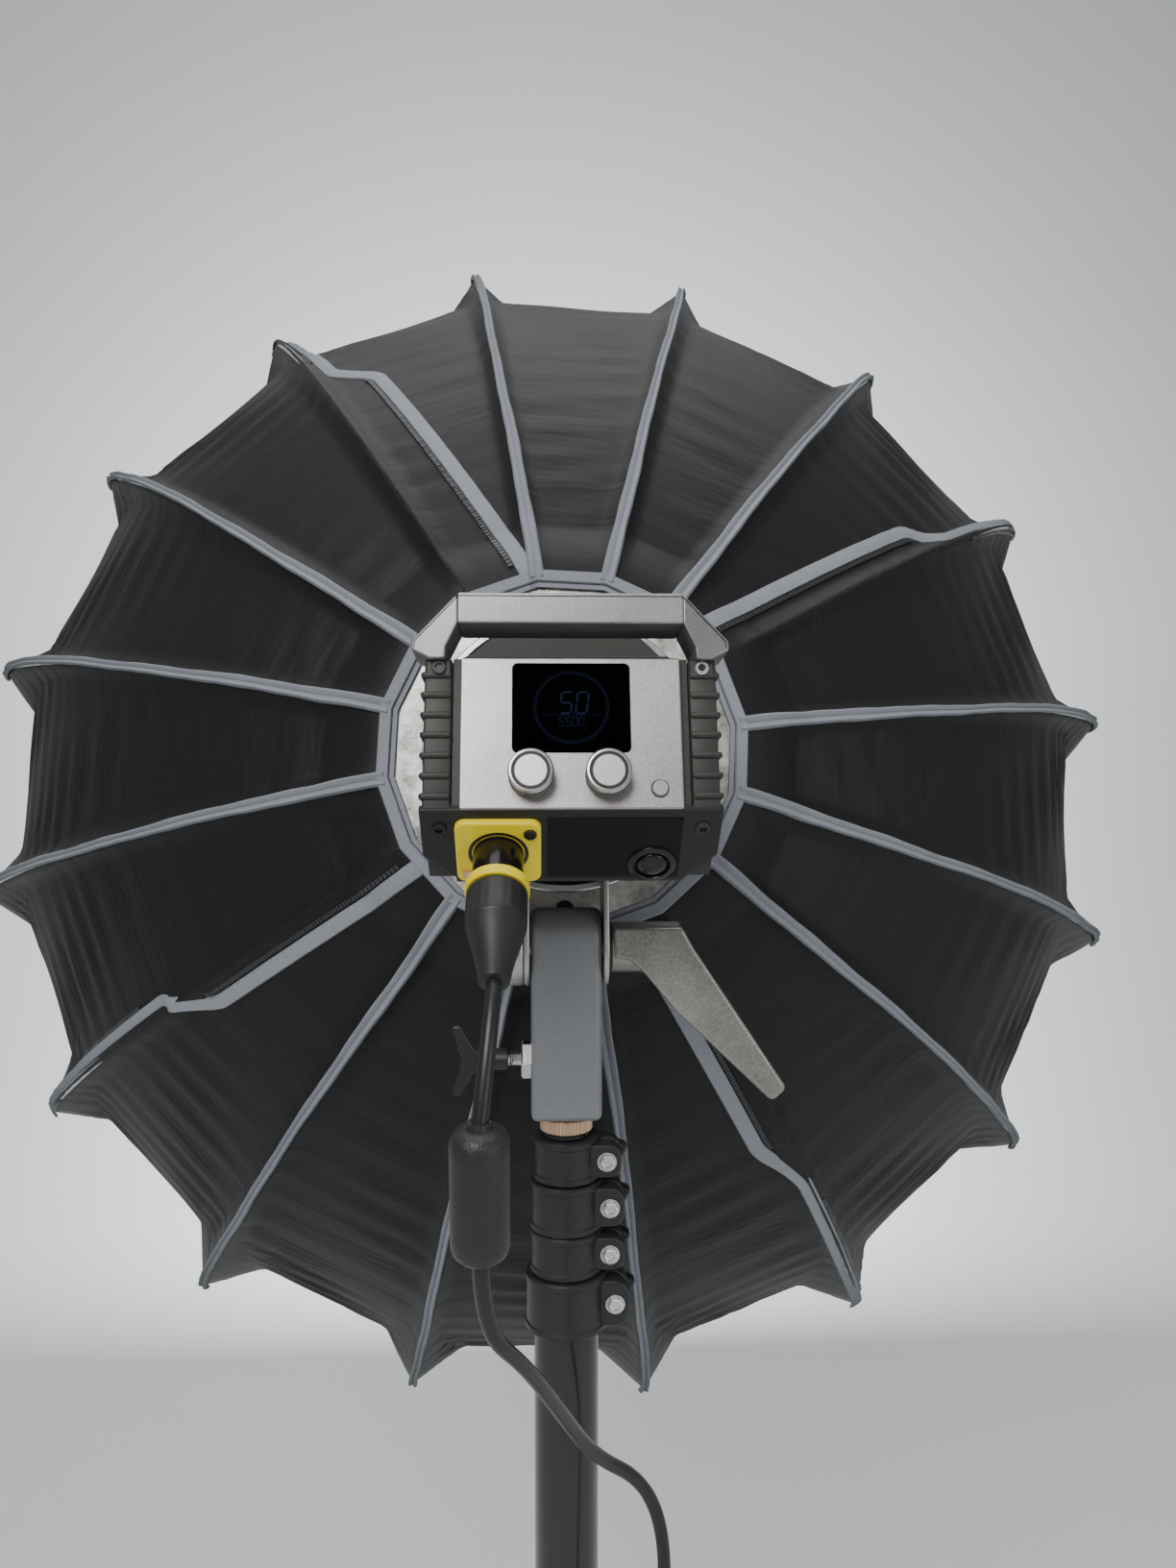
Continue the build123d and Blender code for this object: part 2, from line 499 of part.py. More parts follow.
screws = [stud(CONTROL_PLANE, side * 52.5, CONTROL_L - 4.6, (0.9, 2.2), SCREW_R) for side in (-1, 1)]
screws += [stud(PORT_PLANE, side * 52.0, PORT_L - 10.0, (0.0, 1.2), SCREW_R) for side in (-1, 1)]
save("case_screws", [in_head(s) for s in screws])

# ---------------------------------------------------------------- tilt bracket
def cheek(x):
    """A hanging plate with a round end about the pivot."""
    return block(x, (-CHEEK_R, CHEEK_R), (0.0, YOKE_Z[1])) + rod((x[0], 0, 0), (x[1], 0, 0), CHEEK_R)


yoke = cheek((-CHEEK_X[1], -CHEEK_X[0])) + cheek(CHEEK_X)
yoke = yoke + block((-CHEEK_X[1], CHEEK_X[1]), (-CHEEK_R, CHEEK_R), YOKE_Z)
yoke = yoke + (cheek(BOSS_X) - block((-40, 0), (-20, 20), (YOKE_Z[0] - 3.0, 50.0)))
yoke = yoke - rod((-40, 0, 0), (40, 0, 0), BOLT_R + RUN_FIT)
yoke = yoke - on_axis(BARREL_R + 0.02, (-60.0, 60.0)) - block((-40, 40), (-36.6, -15.0), (31.0, 60.0))
save("yoke_bracket", in_head(yoke))

receiver = block((-BLOCK_X, BLOCK_X), (-BLOCK_Y, BLOCK_Y), (BLOCK_Z[0], 4.0))
receiver = receiver + rod((-BLOCK_X, 0, 4.0), (BLOCK_X, 0, 4.0), BLOCK_Y)
receiver = receiver - rod((0, 0, BLOCK_Z[0] - 1.0), (0, 0, -22.0), SPIGOT_R + RUN_FIT)
lock_hole = rod((-30, 0, LOCK_Z), (0, 0, LOCK_Z), LOCK_SHAFT_R + RUN_FIT)
receiver = receiver - rod((-30, 0, 0), (30, 0, 0), BOLT_R) - lock_hole
bolt = rod((-34.0, 0, 0), (50.0, 0, 0), BOLT_R) + rod((-37.5, 0, 0), (-33.0, 0, 0), 6.0)
save("pivot_bolt", at_pivot(bolt))
arm_line = [(HUB_X[0] + 9.0, -11.0), (HUB_X[1] + 3.0, 5.5), *ARM_TIP]
arm_face = make_face(Polyline(*[(x, -ARM_T / 2, z) for x, z in arm_line], close=True))
arm = extrude(arm_face, amount=ARM_T, dir=(0, 1, 0)) - rod((0, 0, 0), (HUB_X[1] - 4.0, 0, 0), HUB_R - 1.0)
lever = rod((HUB_X[0], 0, 0), (HUB_X[1], 0, 0), HUB_R) + arm
save("tilt_lever", at_pivot(lever - rod((0, 0, 0), (HUB_X[1] - 4.3, 0, 0), BOLT_R + RUN_FIT)))

nut = rod((-21.5, 0, LOCK_Z), (-BLOCK_X - 0.2, 0, LOCK_Z), 10.5) - lock_hole
save("receiver_block", [at_pivot(receiver), at_pivot(nut)])
screw = rod((-30.0, 0, LOCK_Z), (-SPIGOT_R - 0.3, 0, LOCK_Z), LOCK_SHAFT_R)
screw = screw + rod((-42.0, 0, LOCK_Z), (-28.0, 0, LOCK_Z), 5.0)
wing_l, wing_t, wing_h = LOCK_WING
wing_z = (LOCK_Z - wing_h / 2, LOCK_Z + wing_h / 2)
screw = screw + block((-40.0 - wing_l, -40.0), (-wing_t / 2, wing_t / 2), wing_z)
save("lock_screw", at_pivot(screw))

# ---------------------------------------------------------------- stand
TUBE_TOP = [z0 + COLLAR_SEAT * (z1 - z0) for z0, z1 in COLLAR_Z] + [PIVOT_Z + BLOCK_Z[0] - 7.5]
SECTION_NAMES = ("base_section", "mast_section_4", "mast_section_3", "mast_section_2")


def mast_tube(i):
    """Tube i, counted from the base up."""
    return pipe((0, 0, TUBE_FOOT[i]), (0, 0, TUBE_TOP[i]), TUBE_R[i], TUBE_R[i] - TUBE_WALL)


section_solids = []
for i, name in enumerate(SECTION_NAMES):
    low, high = COLLAR_Z[i]
    middle = (low + high) / 2
    bolt_x = COLLAR_R[i] + CLAMP_BOLT_OUT
    tab = block((TAB_ROOT_X, bolt_x + TAB_OVERHANG), TAB_Y, (low + TAB_INSET, high - TAB_INSET))
    collar = rod((0, 0, low), (0, 0, high), COLLAR_R[i]) + tab
    collar = collar - rod((0, 0, low - 1), (0, 0, TUBE_TOP[i]), TUBE_R[i])
    collar = collar - rod((0, 0, low), (0, 0, high + 1), TUBE_R[i + 1] + GAP)
    bolt_line = ((bolt_x, TAB_Y[0] - 1, middle), (bolt_x, TAB_Y[1] + 1, middle))
    collar = collar - rod(*bolt_line, CLAMP_BOLT_R + RUN_FIT)
    head = rod((bolt_x, TAB_Y[0] - CLAMP_HEAD[1], middle), (bolt_x, TAB_Y[0], middle), CLAMP_HEAD[0])
    section_solids.append([on_column(mast_tube(i)), on_column(collar), on_column(head)])
    hub_end = TAB_Y[1] + KNOB_HUB[1]
    knob = rod((bolt_x, TAB_Y[0] + 0.1, middle), (bolt_x, hub_end, middle), CLAMP_BOLT_R)
    knob = knob + rod((bolt_x, TAB_Y[1] + GAP, middle), (bolt_x, hub_end, middle), KNOB_HUB[0])
    wing = Pos(bolt_x, hub_end + KNOB_WING[1] / 2, middle) * Rot(0, KNOB_LEAN, 0) * Box(*KNOB_WING)
    save(f"clamp_knob_{4 - i}", on_column(knob + wing))
for name, shapes in list(zip(SECTION_NAMES, section_solids))[1:]:
    save(name, shapes)

COLUMN_TOP = PIVOT_Z + BLOCK_Z[0]
cap_end, shoulder_foot, brass_foot, brass_top, shoulder_top = [COLUMN_TOP + rise for rise in NECK_RISE]
top_cap = pipe((0, 0, COLLAR_Z[3][1] + GAP), (0, 0, cap_end), CAP_R, TUBE_R[4])
save("top_tube", [on_column(mast_tube(4)), on_column(top_cap)])
spigot = rod((0, 0, shoulder_foot), (0, 0, PIVOT_Z - 26.0), SPIGOT_R)
spigot = spigot + rod((0, 0, shoulder_foot), (0, 0, shoulder_top), NECK_R[0])
brass_ring = pipe((0, 0, brass_foot), (0, 0, brass_top), NECK_R[1], NECK_R[0])
save("spigot", [on_column(spigot), on_column(brass_ring)])

LEG_DROP = RUNNER_Z - FOOT_H / 2
LEG_L = math.hypot(FOOT_REACH - HINGE_REACH, LEG_DROP)
LEG_ANGLE = math.atan2(FOOT_REACH - HINGE_REACH, LEG_DROP)
BRACE_TOP = (HINGE_REACH + BRACE_ON_LEG * math.sin(LEG_ANGLE), RUNNER_Z - BRACE_ON_LEG * math.cos(LEG_ANGLE))
BRACE_SIDE = LEG_SECTION[0] / 2 + GAP + BRACE_SECTION[0] / 2


def spoke(shape, direction):
    """Turn a piece drawn towards +X to a leg's direction, round the column."""
    return on_column(Rot(0, 0, direction) * shape)


def hinge_eye(height, half):
    """A lug pair on a ring, with its pin, for one hinge."""
    thick, rise = HINGE_LUG
    lugs = [block((TUBE_R[0] + 2.0, HINGE_REACH + 5.0), y, (height - rise, height + rise))
            for y in ((-half - thick, -half), (half, half + thick))]
    pin = rod((HINGE_REACH, -half - 5.0, height), (HINGE_REACH, half + 5.0, height), HINGE_PIN_R)
    return lugs[0] + lugs[1] + pin


leg_half = LEG_SECTION[0] / 2 + GAP
brace_half = BRACE_SECTION[0] / 2 + GAP
runner = rod((0, 0, RUNNER_Z + RUNNER_RISE[0]), (0, 0, RUNNER_Z + RUNNER_RISE[1]), LEG_HUB_R)
bracket = rod((0, 0, BRACKET_Z + BRACKET_RISE[0]), (0, 0, BRACKET_Z + BRACKET_RISE[1]), LEG_HUB_R)
for direction in LEG_DIRECTIONS:
    runner = runner + Rot(0, 0, direction) * hinge_eye(RUNNER_Z, leg_half)
    eye = Pos(0, BRACE_SIDE, 0) * hinge_eye(BRACKET_Z, brace_half)
    bracket = bracket + Rot(0, 0, direction) * eye
knob_z = RUNNER_Z + RUNNER_KNOB_RISE
knob_hole = rod((0, 0, knob_z), (30.0, 0, knob_z), BOLT_HOLE_R + RUN_FIT)
runner = runner - rod((0, 0, 0), (0, 0, 900), TUBE_R[0] + RUN_FIT) - Rot(0, 0, RUNNER_KNOB_TURN) * knob_hole
bracket = bracket - rod((0, 0, 0), (0, 0, 900), TUBE_R[0])
save("leg_runner", on_column(runner))
save("base_section", section_solids[0] + [on_column(bracket)])
runner_knob = rod((TUBE_R[0] + GAP, 0, knob_z), (30.0, 0, knob_z), BOLT_HOLE_R)
runner_knob = runner_knob + rod((21.0, 0, knob_z), (30.0, 0, knob_z), 6.5)
runner_knob = runner_knob + block((29.0, 40.0), (-4.0, 4.0), (knob_z - 16.0, knob_z + 16.0))
save("runner_knob", spoke(runner_knob, RUNNER_KNOB_TURN))

leg_w, leg_h = LEG_SECTION
leg_bar = block((0, LEG_L - 6.0), (-leg_w / 2, leg_w / 2), (-leg_h / 2, leg_h / 2))
leg_bar = leg_bar + rod((0, -leg_w / 2, 0), (0, leg_w / 2, 0), leg_h / 2)
leg_bar = leg_bar - rod((0, -20, 0), (0, 20, 0), HINGE_PIN_R + RUN_FIT)
leg = Pos(HINGE_REACH, 0, RUNNER_Z) * Rot(0, 90.0 - math.degrees(LEG_ANGLE), 0) * leg_bar
leg = leg - block((0, 600), (-20, 20), (-30, 2.0))
rubber = rod((FOOT_REACH, 0, 0), (FOOT_REACH, 0, FOOT_H), FOOT_R) - leg
boot = rubber.solids().sort_by(SortBy.VOLUME)[-1]
brace_way = (BRACE_TOP[0] - HINGE_REACH, BRACE_TOP[1] - BRACKET_Z)
BRACE_L = math.hypot(*brace_way)
brace_t, brace_h = BRACE_SECTION
brace_bar = block((0, BRACE_L), (-brace_t / 2, brace_t / 2), (-brace_h / 2, brace_h / 2))
brace_bar = brace_bar + rod((0, -brace_t / 2, 0), (0, brace_t / 2, 0), brace_h / 2)
brace_bar = brace_bar + rod((BRACE_L, -brace_t / 2, 0), (BRACE_L, brace_t / 2 + 2.0, 0), brace_h / 2)
brace_bar = brace_bar - rod((0, -20, 0), (0, 20, 0), HINGE_PIN_R + RUN_FIT)
brace_tilt = math.degrees(math.atan2(brace_way[1], brace_way[0]))
brace = Pos(HINGE_REACH, BRACE_SIDE, BRACKET_Z) * Rot(0, -brace_tilt, 0) * brace_bar
for i, direction in enumerate(LEG_DIRECTIONS, 1):
    save(f"leg_{i}", [spoke(leg, direction), spoke(boot, direction)])
    save(f"brace_{i}", spoke(brace, direction))


# ---------------------------------------------------------------- lead
def cord_tube(points):
    """A tube of straight runs and arcs, each arc as large as its two runs allow."""
    path_points = [Vector(*p) for p in points]
    runs = [b - a for a, b in zip(path_points, path_points[1:])]
    radii = []
    for before, after in zip(runs, runs[1:]):
        turn = math.radians(before.get_angle(after))
        radii.append(0.45 * min(before.length, after.length) / math.tan(turn / 2))
    path = FilletPolyline(*path_points, radius=radii)
    start = Plane(origin=path @ 0, z_dir=path % 0)
    tube = sweep(start * Circle(CORD_R), path=path)
    share = tube.volume / (math.pi * CORD_R ** 2 * path.length)
    print(f"length {path.length:.0f}  radii {[round(r) for r in radii]}  volume share {share:.4f}")
    return tube


save("cord_upper", on_column(cord_tube(CORD_UPPER)))
save("cord_mid", on_column(cord_tube(CORD_MID)))
save("cord_side", on_column(cord_tube(CORD_SIDE)))
save("cord_lower", on_column(cord_tube(CORD_LOWER)))
ferrite = rod(CORD_UPPER[-1], FERRITE_END, FERRITE_R)
save("ferrite_barrel", on_column(fillet(ferrite.edges().filter_by(GeomType.CIRCLE), radius=3.0)))
coil_w, coil_h = COIL_SECTION
coil = Cylinder(COIL_R + coil_w / 2, coil_h) - Cylinder(COIL_R - coil_w / 2, 30.0)
save("cord_coil", on_column(Pos(*COIL_CENTRE, GAP + coil_h / 2) * coil))
end_x, end_from, end_to = END_PLUG
save("end_connector", on_column(rod((end_x, end_from, END_PLUG_Z), (end_x, end_to, END_PLUG_Z), END_PLUG_R)))
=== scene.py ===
"""Looks of a free-standing studio softbox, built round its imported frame.

Metres. +Z is up, the light leaves along +Y, and +X is to the right seen from behind the lamp.
"""

import logging
import math
from dataclasses import dataclass, field
from enum import Enum
from typing import Iterable, Optional, Sequence

import bmesh
import bpy
import numpy as np
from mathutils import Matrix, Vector


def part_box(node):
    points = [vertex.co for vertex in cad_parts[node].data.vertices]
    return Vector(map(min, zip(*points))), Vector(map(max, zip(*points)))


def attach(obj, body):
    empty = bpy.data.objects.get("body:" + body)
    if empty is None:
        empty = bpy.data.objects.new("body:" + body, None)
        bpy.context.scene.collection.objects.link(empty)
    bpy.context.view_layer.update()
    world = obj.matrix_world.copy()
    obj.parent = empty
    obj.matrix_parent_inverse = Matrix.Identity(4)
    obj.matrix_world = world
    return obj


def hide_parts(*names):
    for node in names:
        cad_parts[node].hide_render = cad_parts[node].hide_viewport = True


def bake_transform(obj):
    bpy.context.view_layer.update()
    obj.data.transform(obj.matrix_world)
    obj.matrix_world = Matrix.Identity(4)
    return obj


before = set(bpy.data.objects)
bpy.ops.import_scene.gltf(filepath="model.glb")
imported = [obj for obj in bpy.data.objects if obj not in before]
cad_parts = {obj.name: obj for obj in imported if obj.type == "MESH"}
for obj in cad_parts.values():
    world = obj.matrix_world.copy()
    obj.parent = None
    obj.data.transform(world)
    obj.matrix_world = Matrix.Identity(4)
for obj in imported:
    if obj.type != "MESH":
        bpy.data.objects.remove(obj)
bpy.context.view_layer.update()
LOG = logging.getLogger("softbox")
Array = np.ndarray
MM = 0.001
KNURL_DEPTH = 0.00022


# ---------------------------------------------------------------- places
@dataclass(frozen=True)
class Space:
    """A local frame: its origin and its three axes in the row frame."""

    origin: tuple
    x: tuple = (1.0, 0.0, 0.0)
    y: tuple = (0.0, 1.0, 0.0)
    z: tuple = (0.0, 0.0, 1.0)

    def place(self, points: Array) -> Array:
        """Local points to the row frame.

        Args:
            points: an array whose last axis is x, y, z in this frame.

        Returns:
            The same array in the row frame.
        """
        axes = np.array([self.x, self.y, self.z])
        return np.asarray(points, float) @ axes + np.array(self.origin)

    def point(self, x: float, y: float, z: float) -> tuple:
        """One local point as a plain tuple in the row frame."""
        return tuple(float(c) for c in self.place(np.array([x, y, z])))

    def child(self, origin: Sequence[float], x: Sequence[float], y: Sequence[float],
              z: Sequence[float]) -> "Space":
        """A frame given inside this one.

        Args:
            origin: its origin here.
            x, y, z: its axes here.

        Returns:
            The frame in row coordinates.
        """
        turn = np.array([self.x, self.y, self.z])
        axes = [tuple(np.array(axis, float) @ turn) for axis in (x, y, z)]
        return Space(self.point(*origin), *axes)

    def at(self, x: float, y: float, z: float) -> "Space":
        """The same axes about another local point."""
        return Space(self.point(x, y, z), self.x, self.y, self.z)

    def turned(self, axes: tuple) -> "Space":
        """The same origin with other axes."""
        return self.child((0, 0, 0), *axes)


COLUMN_Y = -0.1175
PIVOT_Z = 1.1
HEAD_TILT = math.radians(-9.0)
AXIS_Z = 0.099
COLUMN = Space((0.0, COLUMN_Y, 0.0))
PIVOT = Space((0.0, COLUMN_Y, PIVOT_Z))
HEAD = Space(PIVOT.origin, (1.0, 0.0, 0.0), (0.0, math.cos(HEAD_TILT), math.sin(HEAD_TILT)),
             (0.0, -math.sin(HEAD_TILT), math.cos(HEAD_TILT)))
SIDEWAYS = ((0, 1, 0), (0, 0, 1), (1, 0, 0))
OUT_LEFT = ((0, 1, 0), (0, 0, -1), (-1, 0, 0))
FACING_BACK = ((1, 0, 0), (0, 0, 1), (0, -1, 0))
FACING_FRONT = ((1, 0, 0), (0, 0, -1), (0, 1, 0))
OPTICAL = HEAD.child((0.0, 0.0, AXIS_Z), *FACING_FRONT)
BACK_LOW = (-0.080, 0.029)
BACK_MID = (-0.112, 0.056)
BACK_TOP = (-0.104, 0.118)


def back_panel(low: Sequence[float], high: Sequence[float]) -> Space:
    """A panel's frame from its lower and upper edges: x across, y up its slope, z out of it."""
    rise = np.array(high) - np.array(low)
    rise = rise / np.linalg.norm(rise)
    return HEAD.child((0.0, *low), (1, 0, 0), (0, *rise), (0, -rise[1], rise[0]))


CONTROL = back_panel(BACK_MID, BACK_TOP)
PORTS = back_panel(BACK_LOW, BACK_MID)
CONTROL_L = math.dist(BACK_MID, BACK_TOP)
PORT_L = math.dist(BACK_LOW, BACK_MID)


# ---------------------------------------------------------------- surfaces
@dataclass
class Shape:
    """Points and faces of one surface, with a UV pair for each point."""

    points: Array
    faces: list
    uv: Optional[Array] = None

    def placed(self, space: Space) -> "Shape":
        """The shape moved from a local frame to the row frame."""
        return Shape(space.place(self.points), self.faces, self.uv)


def joined(shapes: Iterable[Shape]) -> Shape:
    """Several shapes as one."""
    points, faces, uvs, start = [], [], [], 0
    for shape in shapes:
        points.append(shape.points)
        uvs.append(shape.uv if shape.uv is not None else np.zeros((len(shape.points), 2)))
        faces += [tuple(int(i) + start for i in face) for face in shape.faces]
        start += len(shape.points)
    return Shape(np.concatenate(points), faces, np.concatenate(uvs))


def grid(points: Array, wrap: bool = False, flip: bool = False, uv: Optional[Array] = None) -> Shape:
    """A surface over two parameters: rows by columns of points, each cell one four-sided face.

    Args:
        points: rows x columns x 3.
        wrap: whether the last column meets the first.
        flip: whether the faces look the other way.
        uv: rows x columns x 2, or None.

    Returns:
        The surface.
    """
    rows, columns = points.shape[:2]
    across = columns if wrap else columns - 1
    i, j = np.meshgrid(np.arange(rows - 1), np.arange(across), indexing="ij")
    k = (j + 1) % columns
    corners = [i * columns + j, i * columns + k, (i + 1) * columns + k, (i + 1) * columns + j]
    if flip:
        corners.reverse()
    faces = np.stack([c.ravel() for c in corners], axis=1)
    flat_uv = None if uv is None else uv.reshape(-1, 2)
    return Shape(points.reshape(-1, 3), faces.tolist(), flat_uv)


def lathe(profile: Sequence[Sequence[float]], segments: int = 48, ripple: Optional[Array] = None) -> Shape:
    """A turned shape about local z.

    Point = ((r + ripple) cos a, (r + ripple) sin a, h) for each profile pair (r, h) and angle a.

    Args:
        profile: radius and height pairs, in order along the outline.
        segments: points round the axis.
        ripple: change of radius, profile points x segments, or None.

    Returns:
        The surface, with coincident points at its poles.
    """
    line = np.array(profile, float)
    angle = np.linspace(0.0, 2 * math.pi, segments, endpoint=False)
    radius = np.repeat(line[:, :1], segments, axis=1)
    if ripple is not None:
        radius = radius + ripple
    points = np.stack([radius * np.cos(angle), radius * np.sin(angle),
                       np.repeat(line[:, 1:], segments, axis=1)], axis=2)
    uv = np.stack([radius * angle, np.repeat(line[:, 1:], segments, axis=1)], axis=2)
    return grid(points, wrap=True, uv=uv)


def ring(inner: float, outer: float, low: float, high: float, segments: int = 48) -> Shape:
    """A plain turned ring about local z, or a disc where inner is 0."""
    profile = [(inner, low), (outer, low), (outer, high), (inner, high)]
    if inner > 0.0:
        profile.append((inner, low))
    return lathe(profile, segments)


def knurl(profile: Sequence[Sequence[float]], segments: int, first: int, last: int) -> Array:
    """Radius changes for a knurled band: flats and grooves by turns, from one profile point to another."""
    ripple = np.zeros((len(profile), segments))
    ripple[first:last] = KNURL_DEPTH * np.sign(np.sin(np.arange(segments) * math.pi / 1.5))
    return ripple


def rounded_corners(corners: Sequence[Sequence[float]], radius: float | Sequence[float],
                    steps: int = 6) -> Array:
    """An outline whose corners are arcs.

    Each corner c with unit ways a and b to its neighbours gets the arc of its radius that touches both sides.

    Args:
        corners: the outline's corners, anticlockwise.
        radius: one radius, or one per corner.
        steps: points on each arc.

    Returns:
        The outline's points.
    """
    points = np.array(corners, float)
    radii = np.full(len(points), radius, float) if np.isscalar(radius) else np.array(radius, float)
    found = []
    for before, corner, after, size in zip(np.roll(points, 1, 0), points, np.roll(points, -1, 0), radii):
        if size <= 0.0:
            found.append(corner[None])
            continue
        a = (before - corner) / np.linalg.norm(before - corner)
        b = (after - corner) / np.linalg.norm(after - corner)
        half = math.acos(max(-1.0, min(1.0, float(a @ b)))) / 2
        middle = (a + b) / np.linalg.norm(a + b)
        centre = corner + middle * size / math.sin(half)
        start = corner + a * size / math.tan(half) - centre
        end = corner + b * size / math.tan(half) - centre
        share = np.linspace(0.0, 1.0, steps)[:, None]
        way = math.pi - 2 * half
        arc = (np.sin((1 - share) * way) * start + np.sin(share * way) * end) / math.sin(way)
        found.append(centre + arc)
    return np.concatenate(found)


def inset(outline: Array, distance: float) -> Array:
    """An outline moved inwards: each point goes along the mitre of its two sides' normals."""
    before = outline - np.roll(outline, 1, 0)
    after = np.roll(outline, -1, 0) - outline
    normals = []
    for side in (before, after):
        length = np.maximum(np.linalg.norm(side, axis=1, keepdims=True), 1e-9)
        normals.append(np.stack([-side[:, 1], side[:, 0]], axis=1) / length)
    total = normals[0] + normals[1]
    mitre = total / np.maximum(1.0 + np.sum(normals[0] * normals[1], axis=1, keepdims=True), 0.3)
    return outline + mitre * distance


def mirrored(outline: Array, side: int) -> Array:
    """An outline as it is on side 1, or its mirror image on side -1, still anticlockwise."""
    return outline if side > 0 else (outline * np.array([-1.0, 1.0]))[::-1]


def slab(outline: Array, low: float, high: float, edge: float = 0.0008, both: bool = False,
         steps: int = 3) -> Shape:
    """A plate with rounded edges, its outline in local x and y.

    Ring at turn a of an edge = outline moved in by edge (1 - cos a), at height high - edge (1 - sin a); one
    more ring on the face keeps its shading flat.

    Args:
        outline: anticlockwise points.
        low, high: its faces along local z.
        edge: radius of the rounded edge.
        both: whether the lower edge is rounded too.
        steps: points on the edge's quarter circle.

    Returns:
        The closed surface.
    """
    turns = np.linspace(0.0, math.pi / 2, steps + 1)
    levels = [(edge * (1 - math.cos(a)), high - edge * (1 - math.sin(a))) for a in turns]
    levels.append((edge * 1.2, high))
    if both:
        levels = [(d, low + high - h) for d, h in reversed(levels)] + levels
    else:
        levels = [(0.0, low)] + levels
    rings = [np.column_stack([inset(outline, d), np.full(len(outline), h)]) for d, h in levels]
    shape = grid(np.array(rings), wrap=True)
    count = len(outline)
    last = (len(rings) - 1) * count
    shape.faces.append(list(range(count))[::-1])
    shape.faces.append([last + i for i in range(count)])
    return shape


def box(x: Sequence[float], y: Sequence[float], z: Sequence[float], edge: float = 0.0006,
        corner: float = 0.0) -> Shape:
    """A block with rounded edges from its limits."""
    corners = [(x[0], y[0]), (x[1], y[0]), (x[1], y[1]), (x[0], y[1])]
    return slab(rounded_corners(corners, corner), z[0], z[1], edge, both=True)


def tangents(path: Array) -> Array:
    """Unit direction at each point of a path, from its two neighbours."""
    way = np.gradient(path, axis=0)
    return way / np.linalg.norm(way, axis=1, keepdims=True)


def carried(path: Array, side: Array, up: Array, profile: Array, wrap: bool = True) -> Shape:
    """A profile carried along a path: point = path + side * across + up * height.

    Args:
        path, side, up: one point and two directions for each station.
        profile: across and height pairs, or stations x pairs where it changes.
        wrap: whether the profile is closed.

    Returns:
        The surface, with closed ends where the profile is closed.
    """
    if profile.ndim == 2:
        profile = np.repeat(profile[None], len(path), axis=0)
    points = path[:, None] + side[:, None] * profile[..., :1] + up[:, None] * profile[..., 1:]
    run = np.concatenate([[0.0], np.cumsum(np.linalg.norm(np.diff(path, axis=0), axis=1))])
    uv = np.stack([profile[..., 0], np.repeat(run[:, None], profile.shape[1], axis=1)], axis=2)
    shape = grid(points, wrap=wrap, uv=uv)
    if wrap:
        count = profile.shape[1]
        last = (len(path) - 1) * count
        shape.faces.append(list(range(count))[::-1])
        shape.faces.append([last + i for i in range(count)])
    return shape


def tube(path: Array, radius: float | Array, sides: int = 14) -> Shape:
    """A round tube along a path: a circle carried square to it, its start direction kept on the way."""
    way = tangents(path)
    side = np.zeros_like(path)
    hint = np.array([1.0, 0.0, 0.0]) if abs(way[0][0]) < 0.8 else np.array([0.0, 0.0, 1.0])
    for i, direction in enumerate(way):
        hint = hint - direction * (hint @ direction)
        hint = hint / np.linalg.norm(hint)
        side[i] = hint
    up = np.cross(way, side)
    angle = np.linspace(0.0, 2 * math.pi, sides, endpoint=False)
    circle = np.stack([np.cos(angle), np.sin(angle)], axis=1)
    sizes = np.broadcast_to(np.asarray(radius, float), (len(path),))
    return carried(path, side, up, sizes[:, None, None] * circle[None])


# ---------------------------------------------------------------- pieces
def piece(name: str, shape: Shape, finish: "Finish", body: Optional[str],
          replaces: Sequence[str] = (), closed: bool = True, masks: Optional[dict] = None,
          sharp: float = 35.0) -> bpy.types.Object:
    """Put a shape into the scene as one piece.

    Args:
        name: the piece's name.
        shape: its surface in the row frame.
        finish: its material.
        body: the body it rides on, or None where it is attached to no body.
        replaces: the CAD nodes that it stands for.
        closed: whether its seams are welded and its faces turned outwards.
        masks: float attributes by name, one value for each point.
        sharp: angle in degrees past which an edge stays sharp.

    Returns:
        The object.
    """
    mesh = bpy.data.meshes.new(name)
    mesh.from_pydata(shape.points.tolist(), [], [list(f) for f in shape.faces])
    if shape.uv is not None:
        layer = mesh.uv_layers.new(name="Surface")
        loops = np.zeros(len(mesh.loops), np.int32)
        mesh.loops.foreach_get("vertex_index", loops)
        layer.data.foreach_set("uv", shape.uv[loops].astype(np.float32).ravel())
    for key, values in (masks or {}).items():
        attribute = mesh.attributes.new(key, "FLOAT", "POINT")
        attribute.data.foreach_set("value", np.asarray(values, np.float32).ravel())
    if closed:
        work = bmesh.new()
        work.from_mesh(mesh)
        bmesh.ops.remove_doubles(work, verts=work.verts, dist=1e-6)
        bmesh.ops.recalc_face_normals(work, faces=work.faces)
        work.to_mesh(mesh)
        work.free()
    mesh.shade_smooth()
    mesh.set_sharp_from_angle(angle=math.radians(sharp))
    obj = bpy.data.objects.new(name, mesh)
    bpy.context.scene.collection.objects.link(obj)
    mesh.materials.append(finish.material())
    if body is not None:
        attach(obj, body)
    if replaces:
        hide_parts(*replaces)
    LOG.info("%s: %d faces", name, len(mesh.polygons))
    return obj


